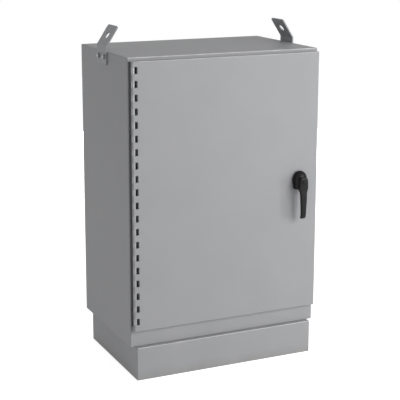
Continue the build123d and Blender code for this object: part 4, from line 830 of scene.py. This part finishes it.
# Lifting eyes: flat bar 6 mm thick, punched, bent outwards and painted a shade darker than the
# cabinet. Hexagon bolts with washers hold them, and the weather has dulled the zinc on these.
EYE_BOLT_Y = 0.029
EYE_NUT = {**LARGE_NUT, "Thread Height": 1.6}
eye_paint = grained("grey_painted_bar", "#8F9093", "#9A9B9E", 0.45, 2.0, 0.05, cloud_mm=40.0, specular=0.4)
dull_zinc = grained("weathered_zinc_plate", "#85878A", "#97999B", 0.42, 1.0, 0.04, cloud_mm=8.0,
                    metallic=1.0)
for eye in ("lifting_eye_left", "lifting_eye_right"):
    softened(eye, 0.7, "cabinet", eye_paint)
eye_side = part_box("lifting_eye_right")[1].x
wall_inside = body_high.x - BODY_SHEET
bolts_low, bolts_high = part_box("lifting_eye_bolts")
eye_bolt_z = (bolts_low.z + bolts_high.z) / 2
eye_bolt_spots = [(side, y) for side in (-1.0, 1.0) for y in (-EYE_BOLT_Y, EYE_BOLT_Y)]
eye_head_seats = [((side * eye_side, y, eye_bolt_z), (side, 0.0, 0.0)) for side, y in eye_bolt_spots]
eye_heads = hexagon_set("lifting_eye_bolt_heads", eye_head_seats, LARGE_HEAD, seed=8, finish=dull_zinc)
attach(eye_heads, "cabinet")
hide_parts("lifting_eye_bolts")
eye_nut_seats = [((side * wall_inside, y, eye_bolt_z), (-side, 0.0, 0.0)) for side, y in eye_bolt_spots]
eye_nuts = hexagon_set("lifting_eye_nuts", eye_nut_seats, EYE_NUT, seed=9)
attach(eye_nuts, "cabinet")


# Continuous hinge: two steel leaves rolled into knuckles round one pin and welded on. The door's
# leaf is enamelled with the door, and the body's is worn half bare. At the top a rim of enamel
# stands round the end of the pin, oiled steel that is coloured nearly black as painted shade for the hollow
# there.
RIM_PROFILE = [(4.7, 0), (6.9, 0), (6.9, 0.5), (6.6, 0.8), (5.1, 0.8), (4.7, 0.5)]
PIN_END_PROFILE = [(0, -0.2), (4.6, -0.2), (4.6, 0.15), (0, 0.25)]
dress(enamel, "hinge_door_leaf")
leaf_steel = grained("polished_leaf_steel", "#8C8D8F", "#9C9D9F", 0.36, 1.2, 0.02, cloud_mm=14.0,
                     metallic=0.55)
dress(leaf_steel, "hinge_body_leaf")
dress(zinc, "hinge_pin")
pin_low, pin_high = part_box("hinge_pin")
pin_top = ((pin_low.x + pin_high.x) / 2, (pin_low.y + pin_high.y) / 2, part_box("door_panel")[1].z)
hinge_rim = turned("hinge_end_rim", RIM_PROFILE, [(pin_top, UP)], enamel, closed=True)
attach(hinge_rim, "door")
# The pin end's near-black colour is painted shade for the hollow at the top of the knuckle.
pin_end_painted_shade = grained("oiled_bare_steel", "#1B1A19", "#2A2826", 0.5, 0.8, 0.03, cloud_mm=4.0)
pin_end = turned("hinge_pin_end", PIN_END_PROFILE, [(pin_top, UP)], pin_end_painted_shade)
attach(pin_end, "door")


# Door: one pan of 2 mm sheet with folded returns, enamelled as the body is. A seal of black foam
# rubber is poured round it, and closes on the lip of the body.
dress(enamel, "door_panel")
foam = grained("black_foam_rubber", "#1C1C1D", "#262627", 0.85, 1.5, 0.35, specular=0.25)
softened("door_gasket", 2.4, "door", foam, segments=4)


# Door stiffener: a hat channel up the middle of the door in gloss white enamel. Spot welds, seen
# as shallow round dimples down both of its wings, hold it.
STIFFENER_SHEET = 0.002
STIFFENER_WING = 0.015
WELD_COUNT = 11
WELD_START = 0.014
WELD_PITCH = 0.0768
WELD_PROFILE = [(0, 0.02), (2.0, 0.02), (2.6, 0.22), (3.2, 0.22), (3.8, 0), (0, -0.1)]
dress(white_enamel, "door_stiffener")
hat_low, hat_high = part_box("door_stiffener")
wing_x = hat_high.x - STIFFENER_WING / 2
wing_face = hat_low.y + STIFFENER_SHEET
weld_spots = []
for side in (-1, 1):
    for n in range(WELD_COUNT):
        weld_z = hat_low.z + WELD_START + WELD_PITCH * n
        weld_spots.append(((side * wing_x, wing_face, weld_z), (0.0, 1.0, 0.0)))
welds = turned("stiffener_spot_welds", WELD_PROFILE, weld_spots, white_enamel, steps=20)
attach(welds, "door")


# Handle: one zinc casting with a satin black coat. An arched head sits on a round collar, and a
# flat lever flares out of it, stands away from the door and turns back at its end.
# Sizes are in millimetres. The head's stations go outwards from the door: out, width, top, low.
HEAD_STATIONS = (
    (6.4, 56.0, 39.0, 33.0), (11.0, 55.6, 38.8, 33.0), (16.0, 54.0, 37.6, 33.0), (20.0, 51.4, 35.6, 33.0),
    (23.5, 47.8, 32.6, 32.9), (26.5, 43.6, 28.6, 32.8), (29.0, 39.6, 24.0, 32.6), (31.5, 36.4, 19.0, 32.2),
    (33.5, 34.0, 15.0, 31.6),
)
# The nose stands over the head, and its stations go down: drop, width, out, thickness.
NOSE_STATIONS = (
    (-17.0, 20.0, 45.0, 20.0), (-16.2, 25.0, 45.9, 21.0), (-14.0, 29.6, 46.6, 22.0),
    (-10.0, 33.2, 47.0, 23.0), (-4.0, 36.0, 47.0, 24.0), (6.0, 37.6, 46.6, 24.0), (16.0, 38.8, 46.2, 24.0),
    (24.0, 39.8, 45.8, 22.5), (29.0, 39.0, 45.4, 18.5),
)
# The lever goes on down from the nose: drop, width, out.
LEVER_STATIONS = (
    (33.0, 37.0, 45.2), (38.0, 33.2, 45.8), (42.0, 30.8, 46.4), (47.0, 29.2, 47.0), (56.0, 28.2, 47.9),
    (66.0, 27.4, 48.6), (78.0, 26.4, 49.0), (92.0, 24.4, 49.0), (106.0, 22.8, 49.0), (120.0, 21.9, 48.9),
    (131.0, 21.5, 48.3), (139.0, 21.4, 46.6), (144.5, 21.0, 44.4), (147.6, 19.6, 42.8), (149.0, 16.8, 41.8),
)
LEVER_THICK = 13.0
LEVER_CORNER = 4.2
LEVER_CORNER_STEPS = 6
# What the lever's end loses all round at its last two stations, by their drop.
LEVER_END_LOSS = {147.6: 0.6, 149.0: 2.2}
HEAD_FOOT_CORNER = 5.0
HEAD_FOOT_STEPS = 5
HEAD_ARCH_STEPS = 24
LOCK_COVER_PROFILE = [
    (0, 44), (9.5, 44), (9.5, 47.4), (9.0, 48.0), (8.2, 48.2), (7.9, 47.8), (7.6, 48.2), (4.0, 48.8),
    (0, 49.0),
]
handle_black = grained("satin_black_coated_casting", "#070708", "#0C0C0D", 0.32, 1.8, 0.03, specular=0.22)
dress(handle_black, "handle_collar")
collar_low, collar_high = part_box("handle_collar")
handle_place = Vector((
    (collar_low.x + collar_high.x) / 2, collar_high.y, (collar_low.z + collar_high.z) / 2,
))


def arch_ring(width, top, low):
    """Outline of the head seen from the front: a round top on straight sides with rounded feet."""
    half_width = width / 2
    foot = HEAD_FOOT_CORNER
    ring = []
    for n in range(HEAD_FOOT_STEPS + 1):
        angle = math.radians(90 * n / HEAD_FOOT_STEPS - 90)
        ring.append((half_width - foot + foot * math.cos(angle), -low + foot + foot * math.sin(angle)))
    for n in range(HEAD_ARCH_STEPS + 1):
        angle = math.pi * n / HEAD_ARCH_STEPS
        ring.append((half_width * math.cos(angle), top - half_width + half_width * math.sin(angle)))
    for n in range(HEAD_FOOT_STEPS + 1):
        angle = math.radians(90 * n / HEAD_FOOT_STEPS + 180)
        ring.append((-half_width + foot + foot * math.cos(angle), -low + foot + foot * math.sin(angle)))
    return ring


def lever_ring(width, thick, rounding):
    """Cross section of the lever: a rectangle with well rounded corners."""
    ring = []
    for quarter, (sx, sy) in enumerate(((1, 1), (-1, 1), (-1, -1), (1, -1))):
        for n in range(LEVER_CORNER_STEPS + 1):
            angle = math.radians(90 * quarter + 90 * n / LEVER_CORNER_STEPS)
            ring.append((
                sx * (width / 2 - rounding) + rounding * math.cos(angle),
                sy * (thick / 2 - rounding) + rounding * math.sin(angle),
            ))
    return ring


def skinned(name, rings, finish):
    """A closed skin over rings of equal length, given in millimetres round the handle's shaft."""
    bm = bmesh.new()
    made = []
    for ring in rings:
        made.append([bm.verts.new(Vector(spot) * MILLIMETRE + handle_place) for spot in ring])
    count = len(made[0])
    for one, two in zip(made, made[1:]):
        for n in range(count):
            bm.faces.new((one[n], one[(n + 1) % count], two[(n + 1) % count], two[n]))
    bm.faces.new(made[0])
    bm.faces.new(made[-1])
    bmesh.ops.recalc_face_normals(bm, faces=bm.faces)
    mesh = bpy.data.meshes.new(name)
    bm.to_mesh(mesh)
    bm.free()
    return shown(name, mesh, finish)


head_rings = []
for out, width, top, low in HEAD_STATIONS:
    head_rings.append([(x, -out, z) for x, z in arch_ring(width, top, low)])
handle_head = skinned("handle_head", head_rings, handle_black)
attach(handle_head, "handle")
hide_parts("door_handle")
lever_rings = []
for drop, width, out, thick in NOSE_STATIONS:
    section = lever_ring(width, thick, LEVER_CORNER)
    lever_rings.append([(x, -out + thick / 2 + y, -drop) for x, y in section])
for drop, width, out in LEVER_STATIONS:
    loss = LEVER_END_LOSS.get(drop, 0.0)
    section = lever_ring(width, LEVER_THICK - 2 * loss, LEVER_CORNER - loss)
    lever_rings.append([(x, -out + LEVER_THICK / 2 + y, -drop) for x, y in section])
handle_lever = skinned("handle_lever", lever_rings, handle_black)
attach(handle_lever, "handle")
lock_cover = turned("lock_cover", LOCK_COVER_PROFILE, [(handle_place, OUT_FRONT)], handle_black, steps=40)
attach(lock_cover, "handle")


# Latch: shaft, cam, rods and guides in zinc plated steel, turned, stamped and cut from strip. The
# rollers at the rods' ends are natural nylon on zinc plated axles.
for latch_piece, body in (
    ("handle_shaft", "handle"), ("latch_cam", "handle"), ("shaft_bushing", "door"),
    ("rod_guide_upper", "door"), ("rod_guide_lower", "door"),
    ("latch_rod_upper", "upper_rod"), ("latch_rod_lower", "lower_rod"),
):
    softened(latch_piece, 0.4, body, zinc)
dress(zinc, "roller_axle_upper", "roller_axle_lower")
nylon = grained("natural_nylon", "#DAD6C8", "#E4E1D4", 0.42, 1.0, 0.02)
dress(nylon, "latch_roller_upper", "latch_roller_lower")


# Studio: a pale floor that keeps the cabinet's soft shadow, and a white surround. What the camera
# and the reflections see is white, while the light that falls on the object stays plain.
FLOOR_SIZE = 16.0
FLOOR_WHITE = "#EDEDED"
FLOOR_LIFT = 0.78
AMBIENT = 0.3
PURE_WHITE = (1.0, 1.0, 1.0, 1.0)


def seen_directly(owner):
    """1 for what the camera, a reflection or a transmission sees, and 0 for light on the object."""
    path = add_node(owner, "ShaderNodeLightPath", {}).outputs
    total = path["Is Camera Ray"]
    for name in ("Is Glossy Ray", "Is Transmission Ray"):
        total = add_node(owner, "ShaderNodeMath", {0: total, 1: path[name]}, operation="MAXIMUM").outputs[0]
    return total


floor_mesh = bpy.data.meshes.new("floor")
half = FLOOR_SIZE / 2
floor_corners = [(-half, -half, 0), (half, -half, 0), (half, half, 0), (-half, half, 0)]
floor_mesh.from_pydata(floor_corners, [], [(0, 1, 2, 3)])
floor = bpy.data.objects.new("floor", floor_mesh)
bpy.context.scene.collection.objects.link(floor)
floor_paper, floor_shader, _ = new_finish("matt_white_floor", 0.9, specular=0.1)
floor_shader.inputs["Base Color"].default_value = linear(FLOOR_WHITE)
floor_shader.inputs["Emission Color"].default_value = PURE_WHITE
lift = add_node(floor_paper, "ShaderNodeMath", {
    0: seen_directly(floor_paper), 1: FLOOR_LIFT,
}, operation="MULTIPLY")
feed(floor_paper, floor_shader, Emission_Strength=lift.outputs[0])
floor_mesh.materials.append(floor_paper)

world = bpy.data.worlds.new("white_surround")
bpy.context.scene.world = world
world.use_nodes = True
surround = world.node_tree.nodes["Background"]
surround.inputs["Color"].default_value = PURE_WHITE
strength = add_node(world, "ShaderNodeMapRange", {
    "Value": seen_directly(world), "To Min": AMBIENT, "To Max": 1.0,
})
feed(world, surround, Strength=strength.outputs[0])

# Softboxes: where each stands in metres, its width and height, and its power in watts.
LIGHTS = {
    "key_softbox": {"at": (2.6, -4.4, 2.5), "size": (2.6, 2.6), "power": 158.0},
    "side_softbox": {"at": (3.6, -2.6, 0.9), "size": (0.5, 1.6), "power": 34.0},
    "left_fill": {"at": (-5.0, 0.6, 1.1), "size": (2.0, 1.6), "power": 15.0},
    "back_softbox": {"at": (1.8, 4.6, 0.62), "size": (2.6, 1.1), "power": 150.0},
}
LIGHT_AIM = Vector((0.0, 0.0, 0.7))
for name, plan in LIGHTS.items():
    lamp = bpy.data.lights.new(name, "AREA")
    lamp.shape = "RECTANGLE"
    lamp.size, lamp.size_y = plan["size"]
    lamp.energy = plan["power"]
    box = bpy.data.objects.new(name, lamp)
    box.location = plan["at"]
    box.rotation_mode = "QUATERNION"
    box.rotation_quaternion = (LIGHT_AIM - box.location).to_track_quat("-Z", "Y")
    bpy.context.scene.collection.objects.link(box)


# Camera: a long lens from the front left, a little above the cabinet, with the slight downward
# shift that keeps the uprights nearly parallel.
CAMERA_AIM = Vector((0.0107, 0.0, 0.7437))
CAMERA_DISTANCE = 4.7405
CAMERA_YAW = math.radians(24.864)
CAMERA_PITCH = math.radians(12.446)
CAMERA_ROLL = math.radians(-0.104)
CAMERA_LENS_MM = 104.84
CAMERA_SHIFT = -0.075
SENSOR_MM = 36.0
forward = Vector((
    math.sin(CAMERA_YAW) * math.cos(CAMERA_PITCH),
    math.cos(CAMERA_YAW) * math.cos(CAMERA_PITCH),
    -math.sin(CAMERA_PITCH),
))
right = Vector((math.cos(CAMERA_YAW), -math.sin(CAMERA_YAW), 0.0))
down = forward.cross(right)
level = math.cos(CAMERA_ROLL) * right + math.sin(CAMERA_ROLL) * down
upright = -(math.cos(CAMERA_ROLL) * down - math.sin(CAMERA_ROLL) * right)
lens = bpy.data.cameras.new("camera")
lens.sensor_width = SENSOR_MM
lens.lens = CAMERA_LENS_MM
lens.shift_y = CAMERA_SHIFT
camera = bpy.data.objects.new("camera", lens)
camera_place = Matrix((level, upright, -forward)).transposed().to_4x4()
camera_place.translation = CAMERA_AIM - CAMERA_DISTANCE * forward
camera.matrix_world = camera_place
bpy.context.scene.collection.objects.link(camera)
bpy.context.scene.camera = camera
bpy.context.scene.view_settings.view_transform = "Standard"
